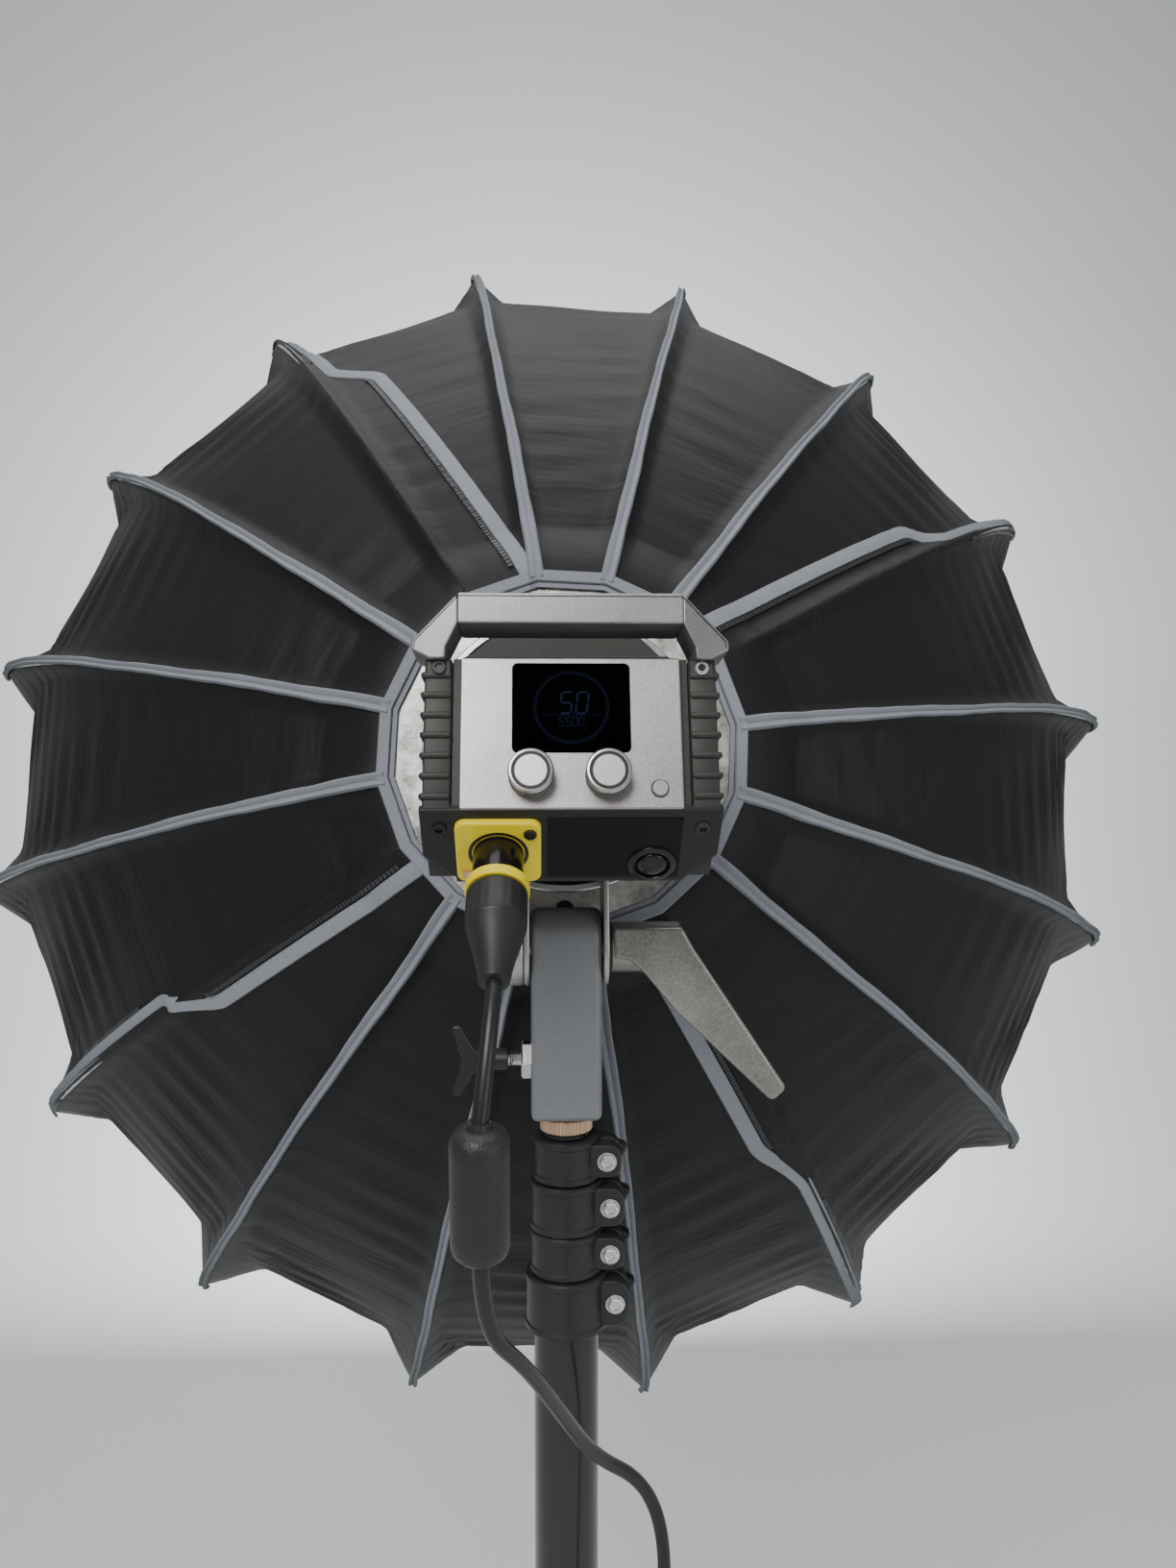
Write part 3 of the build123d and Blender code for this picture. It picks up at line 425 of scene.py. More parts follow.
# ---------------------------------------------------------------- finishes
class Nodes:
    """A short way to add and link shader nodes in one tree."""

    def __init__(self, tree: bpy.types.NodeTree) -> None:
        """Keep the tree."""
        self.tree = tree

    def add(self, kind: str, **values: object) -> bpy.types.Node:
        """A node of a kind, its properties and its inputs set by name.

        Args:
            kind: the node's type name.
            values: properties, or inputs where the name is an input's with "_" for spaces.

        Returns:
            The node.
        """
        node = self.tree.nodes.new(kind)
        for key, value in values.items():
            if hasattr(node, key):
                setattr(node, key, value)
            else:
                socket = node.inputs[key.replace("_", " ")]
                if isinstance(value, bpy.types.NodeSocket):
                    self.tree.links.new(value, socket)
                else:
                    socket.default_value = value
        return node

    def link(self, start: bpy.types.NodeSocket, end: bpy.types.NodeSocket) -> None:
        """Join an output to an input."""
        self.tree.links.new(start, end)

    def math(self, operation: str, a: object, b: object = 0.0) -> bpy.types.NodeSocket:
        """One arithmetic step on sockets or numbers."""
        node = self.tree.nodes.new("ShaderNodeMath")
        node.operation = operation
        for socket, value in zip(node.inputs, (a, b)):
            if isinstance(value, bpy.types.NodeSocket):
                self.tree.links.new(value, socket)
            else:
                socket.default_value = value
        return node.outputs[0]

    def mix(self, factor: object, a: object, b: object) -> bpy.types.NodeSocket:
        """A colour between two colours."""
        node = self.tree.nodes.new("ShaderNodeMix")
        node.data_type = "RGBA"
        for index, value in ((0, factor), (6, a), (7, b)):
            socket = node.inputs[index]
            if isinstance(value, bpy.types.NodeSocket):
                self.tree.links.new(value, socket)
            else:
                socket.default_value = value
        return node.outputs[2]


def new_group(name: str, inputs: Sequence[tuple], outputs: Sequence[tuple]) -> tuple:
    """An empty node group with its sockets.

    Args:
        name: the group's name.
        inputs: name, socket type and default value of each.
        outputs: name and socket type of each.

    Returns:
        The group, its Nodes helper, its input node and its output node.
    """
    group = bpy.data.node_groups.new(name, "ShaderNodeTree")
    for label, kind, value in inputs:
        socket = group.interface.new_socket(label, in_out="INPUT", socket_type=kind)
        socket.default_value = value
    for label, kind in outputs:
        group.interface.new_socket(label, in_out="OUTPUT", socket_type=kind)
    nodes = Nodes(group)
    return group, nodes, nodes.add("NodeGroupInput"), nodes.add("NodeGroupOutput")


def surface_group() -> bpy.types.NodeTree:
    """Fine grain, blotches and settled dust on Object coordinates: a tone, a height and a dust mask."""
    found = bpy.data.node_groups.get("surface detail")
    if found:
        return found
    group, n, start, end = new_group(
        "surface detail",
        [("Grain Scale", "NodeSocketFloat", 900.0), ("Blotch Scale", "NodeSocketFloat", 25.0)],
        [("Tone", "NodeSocketFloat"), ("Height", "NodeSocketFloat"), ("Dust", "NodeSocketFloat")])
    place = n.add("ShaderNodeTexCoord").outputs["Object"]
    grain = n.add("ShaderNodeTexNoise", Vector=place, Scale=start.outputs[0], Detail=2.0, Roughness=0.6)
    blotch = n.add("ShaderNodeTexNoise", Vector=place, Scale=start.outputs[1], Detail=4.0, Roughness=0.55)
    sparkle = n.add("ShaderNodeTexVoronoi", Vector=place, Scale=start.outputs[0])
    tone = n.math("MULTIPLY_ADD", n.math("SUBTRACT", sparkle.outputs["Color"], 0.5), 0.55)
    n.link(n.math("MULTIPLY", blotch.outputs["Fac"], 1.0), tone.node.inputs[2])
    n.link(tone, end.inputs[0])
    n.link(grain.outputs["Fac"], end.inputs[1])
    up = n.add("ShaderNodeSeparateXYZ", Vector=n.add("ShaderNodeNewGeometry").outputs["Normal"]).outputs["Z"]
    lying = n.math("MAXIMUM", up, 0.0)
    n.link(n.math("MULTIPLY", lying, n.math("POWER", blotch.outputs["Fac"], 2.0)), end.inputs[2])
    return group


def weave_group() -> bpy.types.NodeTree:
    """Plain weave on the UV map: crossing threads as a height, with uneven threads as a tone."""
    found = bpy.data.node_groups.get("plain weave")
    if found:
        return found
    group, n, start, end = new_group(
        "plain weave", [("Threads per Metre", "NodeSocketFloat", 1800.0)],
        [("Height", "NodeSocketFloat"), ("Tone", "NodeSocketFloat")])
    uv = n.add("ShaderNodeUVMap", uv_map="Surface").outputs[0]
    parts = n.add("ShaderNodeSeparateXYZ", Vector=uv).outputs
    waves = [n.math("SINE", n.math("MULTIPLY", n.math("MULTIPLY", parts[i], start.outputs[0]), math.pi))
             for i in (0, 1)]
    n.link(n.math("MULTIPLY", waves[0], waves[1]), end.inputs[0])
    streak = n.add("ShaderNodeMapping", Vector=uv, Scale=(60.0, 700.0, 1.0))
    uneven = n.add("ShaderNodeTexNoise", Vector=streak.outputs[0], Scale=1.0, Detail=3.0)
    n.link(uneven.outputs["Fac"], end.inputs[1])
    return group


@dataclass(frozen=True)
class Finish:
    """A plain finish: one colour with grain, blotches and dust.

    Colours are linear. spread is how far the tone moves the colour, bump the grain's height in metres.
    """

    name: str
    colour: tuple
    roughness: float = 0.5
    metallic: float = 0.0
    coat: float = 0.0
    spread: float = 0.15
    bump: float = 0.00002
    grain: float = 900.0
    blotch: float = 25.0
    dust: float = 0.0
    sheen: float = 0.0
    specular: float = 0.5

    def material(self) -> bpy.types.Material:
        """The material, made once."""
        found = bpy.data.materials.get(self.name)
        if found:
            return found
        material = bpy.data.materials.new(self.name)
        material.use_nodes = True
        nodes = Nodes(material.node_tree)
        shader = material.node_tree.nodes["Principled BSDF"]
        shader.inputs["Metallic"].default_value = self.metallic
        shader.inputs["Coat Weight"].default_value = self.coat
        shader.inputs["Coat Roughness"].default_value = 0.08
        shader.inputs["Sheen Weight"].default_value = self.sheen
        shader.inputs["Specular IOR Level"].default_value = self.specular
        self.dress(nodes, shader)
        return material

    def dress(self, n: Nodes, shader: bpy.types.Node) -> None:
        """Colour, roughness and relief.

        Args:
            n: the material's nodes.
            shader: its Principled shader.
        """
        detail = n.add("ShaderNodeGroup", node_tree=surface_group(), Grain_Scale=self.grain,
                       Blotch_Scale=self.blotch)
        dark = tuple(c * (1 - self.spread) for c in self.colour) + (1.0,)
        light = tuple(min(1.0, c * (1 + self.spread)) for c in self.colour) + (1.0,)
        base = n.mix(detail.outputs["Tone"], dark, light)
        if self.dust > 0.0:
            base = n.mix(n.math("MULTIPLY", detail.outputs["Dust"], self.dust), base, (0.55, 0.54, 0.52, 1.0))
        n.link(base, shader.inputs["Base Color"])
        rough = n.math("MULTIPLY_ADD", detail.outputs["Tone"], 0.18 * self.roughness)
        rough.node.inputs[2].default_value = self.roughness * 0.91
        n.link(rough, shader.inputs["Roughness"])
        bump = n.add("ShaderNodeBump", Strength=1.0, Distance=self.bump, Height=detail.outputs["Height"])
        n.link(bump.outputs[0], shader.inputs["Normal"])


@dataclass(frozen=True)
class Cloth(Finish):
    """Woven cloth with fine creases across it, on the piece's UV map."""

    threads: float = 1500.0
    crease: float = 0.0004
    mask_colour: tuple = ()

    def dress(self, n: Nodes, shader: bpy.types.Node) -> None:
        """Weave, creases, and a second colour where the "mask" attribute is high."""
        weave = n.add("ShaderNodeGroup", node_tree=weave_group(), Threads_per_Metre=self.threads)
        dark = tuple(c * (1 - self.spread) for c in self.colour) + (1.0,)
        light = tuple(min(1.0, c * (1 + self.spread)) for c in self.colour) + (1.0,)
        base = n.mix(weave.outputs["Tone"], dark, light)
        if self.mask_colour:
            mask = n.add("ShaderNodeAttribute", attribute_name="mask").outputs["Fac"]
            base = n.mix(mask, base, (*self.mask_colour, 1.0))
        n.link(base, shader.inputs["Base Color"])
        shader.inputs["Roughness"].default_value = self.roughness
        uv = n.add("ShaderNodeUVMap", uv_map="Surface").outputs[0]
        long = n.add("ShaderNodeMapping", Vector=uv, Scale=(9.0, 62.0, 1.0), Rotation=(0.0, 0.0, 0.12))
        crease = n.add("ShaderNodeTexNoise", Vector=long.outputs[0], Scale=1.0, Detail=3.0, Distortion=0.4)
        folds = n.add("ShaderNodeBump", Strength=1.0, Distance=self.crease, Height=crease.outputs["Fac"])
        threads = n.add("ShaderNodeBump", Strength=0.6, Distance=0.00004, Height=weave.outputs["Height"],
                        Normal=folds.outputs[0])
        n.link(threads.outputs[0], shader.inputs["Normal"])


@dataclass(frozen=True)
class Mottled(Finish):
    """Bare cast metal with large light and dark patches."""

    def dress(self, n: Nodes, shader: bpy.types.Node) -> None:
        """Patches from two noises, in colour and roughness."""
        place = n.add("ShaderNodeTexCoord").outputs["Object"]
        noise = n.add("ShaderNodeTexNoise", Vector=place, Scale=self.blotch, Detail=6.0, Roughness=0.7)
        ramp = n.add("ShaderNodeValToRGB", Fac=noise.outputs["Fac"])
        ramp.color_ramp.elements[0].position = 0.38
        ramp.color_ramp.elements[0].color = (*[c * 0.45 for c in self.colour], 1.0)
        ramp.color_ramp.elements[1].position = 0.60
        ramp.color_ramp.elements[1].color = (*self.colour, 1.0)
        n.link(ramp.outputs[0], shader.inputs["Base Color"])
        n.link(n.math("MULTIPLY", noise.outputs["Fac"], self.roughness * 2), shader.inputs["Roughness"])
        bump = n.add("ShaderNodeBump", Strength=1.0, Distance=self.bump, Height=noise.outputs["Fac"])
        n.link(bump.outputs[0], shader.inputs["Normal"])


@dataclass(frozen=True)
class Glow(Finish):
    """A faint lit marking on the display."""

    strength: float = 0.35

    def dress(self, n: Nodes, shader: bpy.types.Node) -> None:
        """One colour that also gives light."""
        shader.inputs["Base Color"].default_value = (*self.colour, 1.0)
        shader.inputs["Emission Color"].default_value = (*self.colour, 1.0)
        shader.inputs["Emission Strength"].default_value = self.strength
        shader.inputs["Roughness"].default_value = self.roughness


# Its mask colour is painted light: the ear tips at the hem are drawn lighter, as if lit by the bright wall
# the softbox faces.
FABRIC = Cloth("black softbox cloth", (0.0108, 0.0098, 0.0104), roughness=0.50, spread=0.28, specular=0.26,
               crease=0.0012, mask_colour=(0.085, 0.083, 0.074))
LINING = Cloth("silver lining", (0.74, 0.75, 0.76), roughness=0.34, metallic=0.85, crease=0.0003)
WHITE = Cloth("white diffusion cloth", (0.84, 0.84, 0.82), roughness=0.8, sheen=0.2, spread=0.04,
              threads=900.0,
              crease=0.0002)
TAPE = Cloth("grey binding tape", (0.262, 0.276, 0.308), roughness=0.75, spread=0.16, threads=1300.0,
             crease=0.0003, specular=0.2, mask_colour=(0.100, 0.107, 0.113))
TEETH = Finish("zip teeth", (0.035, 0.036, 0.038), roughness=0.35)
CAST = Mottled("mottled cast metal", (0.80, 0.76, 0.71), roughness=0.33, metallic=0.9, blotch=60.0,
               bump=0.0002)
PANEL = Finish("blasted aluminium", (0.41, 0.387, 0.374), roughness=0.36, metallic=0.82, spread=0.30,
               grain=1400.0, bump=0.00003)
HANDLE = Finish("handle metal", (0.335, 0.325, 0.31), roughness=0.38, metallic=0.75, spread=0.24,
                grain=1400.0,
                bump=0.00003)
# Painted shade: the handle's ends are the bar's metal drawn darker, where they lie in shade.
HANDLE_END_PAINTED_SHADE = Finish("handle metal with painted shade on the ends", (0.265, 0.258, 0.246), roughness=0.40, metallic=0.72, spread=0.24,
                    grain=1400.0, bump=0.00003)
DIAL = Finish("turned dial metal", (0.56, 0.54, 0.53), roughness=0.30, metallic=0.85, spread=0.14,
              grain=1400.0)
KNURL = Finish("knurled dial side", (0.20, 0.195, 0.185), roughness=0.34, metallic=0.9, spread=0.2)
FIN = Finish("dark textured metal", (0.044, 0.043, 0.039), roughness=0.48, metallic=0.30, spread=0.25,
             grain=1300.0, bump=0.00005, dust=0.05, specular=0.35)
PORT = Finish("dark port panel", (0.027, 0.027, 0.025), roughness=0.48, metallic=0.3, grain=1300.0,
              bump=0.00004, specular=0.3)
LABEL = Finish("blank label", (0.0055, 0.0055, 0.006), roughness=0.36, specular=0.16, spread=0.05,
               bump=0.000004)
# Black metal of the mount flange, the inlet screw and the line along the handle; also painted shade in the
# dial grooves, the gap round the push button, the screw sockets and on one corner screw.
BLACK_METAL_AND_PAINTED_SHADE = Finish("black satin metal and painted shade", (0.018, 0.018, 0.018), roughness=0.38, metallic=0.4)
GLASS = Finish("display glass", (0.0010, 0.0011, 0.0014), roughness=0.34, spread=0.05, bump=0.000002,
               specular=0.0)
MARK = Glow("display marking", (0.007, 0.009, 0.020), roughness=0.6, specular=0.0)
BARE = Finish("bright machined metal", (0.72, 0.71, 0.70), roughness=0.24, metallic=1.0, spread=0.08)
BLACK = Finish("black moulded plastic", (0.014, 0.014, 0.0145), roughness=0.42, grain=700.0, dust=0.06,
               bump=0.00004)
PEBBLE = Finish("pebbled black plastic", (0.016, 0.016, 0.016), roughness=0.40, grain=950.0, bump=0.00030,
                dust=0.05)
GLOSS = Finish("gloss black", (0.006, 0.006, 0.0065), roughness=0.20, coat=0.18, spread=0.05, specular=0.35)
YELLOW = Finish("yellow plastic", (0.94, 0.73, 0.004), roughness=0.36, spread=0.05)
BLOCK = Finish("blue grey block", (0.205, 0.211, 0.222), roughness=0.40, metallic=0.12, spread=0.08)
CHEEK = Finish("light bracket metal", (0.47, 0.46, 0.44), roughness=0.36, metallic=0.7, spread=0.12,
               grain=1300.0)
LEVER = Finish("speckled lever metal", (0.285, 0.275, 0.255), roughness=0.34, metallic=0.60, spread=0.50,
               grain=1500.0, bump=0.00006)
BRASS = Finish("brass", (0.70, 0.46, 0.27), roughness=0.30, metallic=1.0, spread=0.15)
TUBE = Finish("gloss black tube", (0.0075, 0.0075, 0.008), roughness=0.22, coat=0.3, spread=0.08, dust=0.03)
COLLAR = Finish("collar plastic", (0.017, 0.017, 0.018), roughness=0.36, grain=500.0, bump=0.00006, dust=0.08)
RUBBER = Finish("lead rubber", (0.010, 0.010, 0.0105), roughness=0.36, spread=0.1, dust=0.04)
BOARD = Finish("circuit board", (0.02, 0.12, 0.06), roughness=0.5)
ROD = Finish("spring steel", (0.5, 0.5, 0.52), roughness=0.3, metallic=1.0)


# ---------------------------------------------------------------- softbox
@dataclass
class ZipSeam:
    """A zip that leaves its rod with an S-bend: where it bends and how far it stands off, in metres."""

    rib: int
    side: int
    bend: float
    outer: float
    inner: float

    def offset(self, share: Array) -> Array:
        """Distance across from the rod: outer past the bend, inner before it, none at the tip."""
        turn = np.clip((self.bend + 0.045 - share) / 0.09, 0.0, 1.0)
        turn = turn * turn * (3 - 2 * turn)
        fade = np.clip((1.0 - share) / 0.35, 0.0, 1.0)
        return self.side * (self.outer * fade + (self.inner - self.outer) * turn)


@dataclass
class Dome:
    """The softbox: sixteen bent rods, the cloth gores over them, the seams and the cloths inside."""

    ribs: int = 16
    first: float = math.radians(-8.5)
    root: tuple = (0.101, 0.037)
    tip: tuple = (0.450, 0.371)
    bow: float = 0.056
    hem: float = 0.92
    facing: float = 0.889
    neck: tuple = (0.0925, 0.0275)
    neck_share: float = 0.06
    over_rod: float = 0.0034
    baffle_along: float = 0.1905
    rows: int = 196
    columns: int = 22
    zips: tuple = (ZipSeam(15, 1, 0.47, 0.013, 0.036), ZipSeam(3, -1, 0.41, 0.004, 0.021),
                   ZipSeam(7, 1, 0.37, 0.002, 0.017), ZipSeam(11, -1, 0.335, -0.005, 0.014))
    noise: np.random.Generator = field(default_factory=lambda: np.random.default_rng(16))

    def __post_init__(self) -> None:
        """Work out the rod's arc and the creases' chances."""
        root, tip = np.array(self.root), np.array(self.tip)
        chord = float(np.linalg.norm(tip - root))
        self.way = (tip - root) / chord
        self.inward = np.array([-self.way[1], self.way[0]])
        self.radius = chord ** 2 / (8 * self.bow) + self.bow / 2
        self.centre = (root + tip) / 2 + self.inward * (self.radius - self.bow)
        self.half = math.asin(chord / 2 / self.radius)
        self.length = 2 * self.half * self.radius
        self.phase = self.noise.uniform(0.0, 2 * math.pi, (self.ribs, 6))
        self.lean = self.noise.uniform(-1.0, 1.0, (self.ribs, 4))

    def arc(self, share: Array, inset_by: Array) -> tuple:
        """Radius and distance along the axis at a share of the rod's arc, moved inwards by inset_by."""
        turn = self.half * (2 * share - 1)
        outward = (-self.inward[:, None] * np.cos(turn).ravel() + self.way[:, None] * np.sin(turn).ravel())
        line = self.centre[:, None] + outward * (self.radius - np.broadcast_to(inset_by, turn.shape).ravel())
        return line[0].reshape(turn.shape), line[1].reshape(turn.shape)

    def gore_width(self, share: Array) -> Array:
        """Distance between neighbouring rods at a share of the arc."""
        radius, _ = self.arc(share, np.zeros_like(share))
        return 2 * radius * math.sin(math.pi / self.ribs)

    def near_rod(self, place: Array, share: Array) -> Array:
        """How far the cloth is lifted over a rod: 1 on the rod, 0 away from it, wider towards the hem."""
        across = place - np.floor(place)
        gap = np.minimum(across, 1 - across) * self.gore_width(share)
        end = np.clip((share - 0.66) / 0.30, 0.0, 1.0)
        reach = 0.011 + 0.025 * end * end * (3 - 2 * end)
        return np.clip(1 - gap / reach, 0.0, 1.0) ** (1.5 - 0.45 * end)

    def creases(self, place: Array, share: Array) -> Array:
        """Height of the creases that run from rod to rod.

        Two trains of waves of the share, whose phase leans across the gore; each gore has chances of its own.
        They grow towards the hem and are held down at the rods.
        """
        gore = np.floor(place).astype(int) % self.ribs
        across = place - np.floor(place)
        phase, lean = self.phase[gore], self.lean[gore]
        slow = np.sin(9.0 * share + phase[..., 0]) + 0.7 * np.sin(23.0 * share + phase[..., 1])
        fine = np.sin(2 * math.pi * 41 * share + 1.9 * slow + 5.0 * lean[..., 0] * (across - 0.5)
                      + 0.9 * np.sin(5.0 * across + phase[..., 2]))
        broad = np.sin(2 * math.pi * 17 * share + 1.4 * slow - 4.0 * lean[...,
                                                                          1] * (across - 0.5) + phase[..., 3])
        patch = 0.6 + 0.4 * np.sin(13.0 * share + 6.0 * across + phase[..., 4])
        held = np.sin(math.pi * np.clip(across, 0.0, 1.0)) ** 0.5
        grow = 0.20 + 0.95 * np.clip(share, 0.0, 1.0) ** 1.6
        return held * patch * grow * (0.00150 * (1 - np.abs(fine)) + 0.00160 * broad)

    def skin(self, place: Array, share: Array, lift: float | Array = 0.0) -> Array:
        """Points of the outer cloth in the row frame.

        Point = rod line of one side and of the other, joined by a straight chord; the rod line is the arc
        moved inwards by 3 mm at the neck and 28 mm at the tip, and outwards over the rod.

        Args:
            place: rib number plus share of the way to the next rib.
            share: share of the rod's arc; under neck_share the cloth closes on the neck.
            lift: extra height over the cloth.

        Returns:
            The points.
        """
        across = place - np.floor(place)
        near = self.near_rod(place, share)
        pulled = 0.003 + 0.025 * np.clip(share, 0, 2) ** 3 + 0.008 * share ** 6 * np.sin(math.pi * across)
        depth = pulled * (1 - near) - self.over_rod * near - self.creases(place, share) - lift
        radius, along = self.arc(np.maximum(share, self.neck_share), depth)
        close = np.clip(share / self.neck_share, 0.0, 1.0)
        radius = self.neck[0] + (radius - self.neck[0]) * close
        ease = close ** 1.7
        along = (self.neck[1] - lift) * (1 - ease) + along * ease
        return self.around(place, radius, along)

    def around(self, place: Array, radius: Array, along: Array) -> Array:
        """Points on the chords between ribs, at a radius of the rib line and a distance along the axis."""
        low = np.floor(place)
        across = place - low
        angles = [self.first + 2 * math.pi / self.ribs * (low + i) for i in (0, 1)]
        x = radius * ((1 - across) * np.sin(angles[0]) + across * np.sin(angles[1]))
        z = radius * ((1 - across) * np.cos(angles[0]) + across * np.cos(angles[1]))
        return HEAD.place(np.stack([x, along + 0 * x, AXIS_Z + z], axis=-1))

    def hem_share(self, place: Array) -> Array:
        """Where the outer cloth ends: the hem between the rods, drawn out to a point over each rod tip."""
        across = place - np.floor(place)
        gap = np.minimum(across, 1 - across)
        return self.hem + 0.084 * np.clip(1 - gap / 0.20, 0.0, 1.0) ** 1.1

    def columns_line(self) -> Array:
        """Places round the dome, closer together at the rods."""
        even = np.linspace(-1.0, 1.0, self.columns + 1)[:-1]
        across = 0.5 + 0.5 * np.sign(even) * np.abs(even) ** 0.72
        return np.concatenate([k + across for k in range(self.ribs)])

    def build(self) -> None:
        """All of the softbox's pieces."""
        self.cloth()
        self.lining()
        self.hem_facing()
        self.bindings()
        self.zip_tapes()
        self.neck_ring()
        self.front_cloths()

    def cloth(self) -> None:
        """The outer black cloth, one sheet of sixteen gores."""
        place = self.columns_line()[None, :]
        rise = np.linspace(0.0, 1.0, self.rows)[:, None]
        share = rise * self.hem_share(place)
        place = np.broadcast_to(place, share.shape)
        points = self.skin(place, share)
        width = self.gore_width(share)
        uv = np.stack([(place - np.floor(place)) * width + np.floor(place) * 0.2, share * self.length],
                      axis=2)
        # Painted light: this mask gives the ear tips the cloth's lighter mask colour.
        ear = (np.clip((share - self.hem + 0.035) / 0.03, 0, 1)
               * np.clip(self.near_rod(place, share) * 6, 0, 1))
        shape = grid(points, wrap=True, uv=uv)
        outer = piece("softbox_cloth", shape, FABRIC, "head", ["dome_shell"], closed=False,
                      masks={"mask": ear}, sharp=180)

    def lining(self) -> None:
        """The silver cloth inside, from the neck to just short of the hem."""
        place = np.linspace(0.0, self.ribs, self.ribs * 6 + 1)[:-1][None, :]
        share = np.linspace(0.035, self.facing, 40)[:, None] + 0 * place
        place = np.broadcast_to(place, share.shape)
        depth = 0.0046 + 0.025 * share ** 3 + 0.008 * share ** 6 * np.sin(math.pi * (place % 1.0))
        points = self.around(place, *self.arc(share, depth))
        uv = np.stack([place * 0.1, share * self.length], axis=2)
        inner = piece("silver_lining", grid(points, wrap=True, flip=True, uv=uv), LINING, "head",
                      closed=False, sharp=180)

    def hem_facing(self) -> None:
        """The cloth that joins the outer hem to the lining, and backs the rod pockets."""
        place = self.columns_line()
        outer = self.skin(place, self.hem_share(place))
        share = np.full_like(place, self.facing)
        depth = 0.0046 + 0.025 * share ** 3 + 0.008 * share ** 6 * np.sin(math.pi * (place % 1.0))
        inner = self.around(place, *self.arc(share, depth))
        rise = np.linspace(0.0, 1.0, 7)[:, None, None]
        sag = np.sin(math.pi * rise) * 0.0015
        points = outer[None] * (1 - rise) + inner[None] * rise
        points = points + np.array(HEAD.y) * sag
        piece("hem_facing", grid(points, wrap=True), FABRIC, "head", closed=False,
              sharp=180)

    def ribbon(self, place: Array, share: Array, profile: Array) -> Shape:
        """A tape on the outer cloth along places and shares, its profile square to the cloth."""
        path = self.skin(place, share, 0.0002)
        above = self.skin(place, share, 0.003)
        up = above - path
        way = tangents(path)
        up = up - way * np.sum(up * way, axis=1, keepdims=True)
        up = up / np.linalg.norm(up, axis=1, keepdims=True)
        return carried(path, np.cross(way, up), up, profile)

    def binding_profile(self, share: Array) -> Array:
        """A double-edged fin: two rounded edges with a groove between, wider at the ring."""
        half = 0.0026 + 0.0013 * np.clip(1 - share / 0.35, 0, 1) + 0.0008 * np.clip((share - 0.8) / 0.2, 0, 1)
        across = np.array([-1.0, -1.0, -0.72, -0.28, 0.0, 0.28, 0.72, 1.0, 1.0, 0.0])
        height = np.array([-0.9, 1.4, 2.6, 1.9, 0.9, 1.9, 2.6, 1.4, -0.9, -1.0]) * MM
        wave = 1 + 0.07 * np.sin(34 * share + self.noise.uniform(0, 6)) * np.sin(81 * share)
        return np.stack([across[None] * (half * wave)[:, None], np.repeat(height[None], len(share), 0)],
                        axis=2)

    def bindings(self) -> None:
        """The grey raised binding over each plain rod."""
        zipped = {seam.rib for seam in self.zips}
        shapes, masks = [], []
        for rib in range(self.ribs):
            if rib in zipped:
                continue
            share = np.linspace(0.0, 1.0, 150)
            drift = 0.0005 * np.sin(13 * share + rib) + 0.0002 * np.sin(41 * share + 2 * rib)
            place = rib + drift / self.gore_width(share)
            shape = self.ribbon(place, share, self.binding_profile(share))
            shapes.append(shape)
            masks.append(np.repeat(np.clip((share - 0.55) / 0.45, 0, 1), 10))
        piece("seam_bindings", joined(shapes), TAPE, "head",
              masks={"mask": np.concatenate(masks)},
              closed=False, sharp=60)

    def zip_tapes(self) -> None:
        """The four zips: a flat tape that S-bends off its rod, with a row of teeth beside it."""
        tapes, teeth, masks = [], [], []
        half = 0.0046
        across = np.array([-1.0, -0.9, -0.3, 0.3, 0.9, 1.0, 0.9, -0.9]) * half
        height = np.array([-0.4, 1.1, 1.5, 1.5, 1.1, -0.4, -0.7, -0.7]) * MM
        for seam in self.zips:
            share = np.linspace(0.0, 1.0, 260)
            place = seam.rib + seam.offset(share) / self.gore_width(share)
            profile = np.repeat(np.stack([across, height], axis=1)[None], len(share), axis=0)
            tapes.append(self.ribbon(place, share, profile))
            masks.append(np.repeat(np.clip((share - 0.6) / 0.4, 0, 1), len(across)))
            beside = np.linspace(0.02, 0.90, 210)
            line = (seam.offset(beside) - seam.side * 0.0066) / self.gore_width(beside)
            shown = (beside < seam.bend - 0.03) | (beside > seam.bend + 0.1)
            teeth += [self.tooth(seam.rib + p, s) for p, s in zip(line[shown], beside[shown])]
        piece("zip_tapes", joined(tapes), TAPE, "head",
              masks={"mask": np.concatenate(masks)},
              closed=False, sharp=60)
        piece("zip_teeth", joined(teeth), TEETH, "head", closed=False)

    def tooth(self, place: float, share: float) -> Shape:
        """One zip tooth, a small block on the cloth."""
        step = 0.0008 / self.length
        line = self.skin(np.full(2, place), np.array([share - step, share + step]), 0.0008)
        way = (line[1] - line[0]) / np.linalg.norm(line[1] - line[0])
        up = self.skin(np.array([place]), np.array([share]), 0.003)[0] - line.mean(axis=0)
        side = np.cross(way, up)
        side = side / np.linalg.norm(side)
        up = np.cross(side, way)
        profile = np.array([(-1.3, -0.8), (1.3, -0.8), (1.3, 0.5), (-1.3, 0.5)]) * MM
        return carried(line, np.repeat(side[None], 2, 0), np.repeat(up[None], 2, 0), profile)

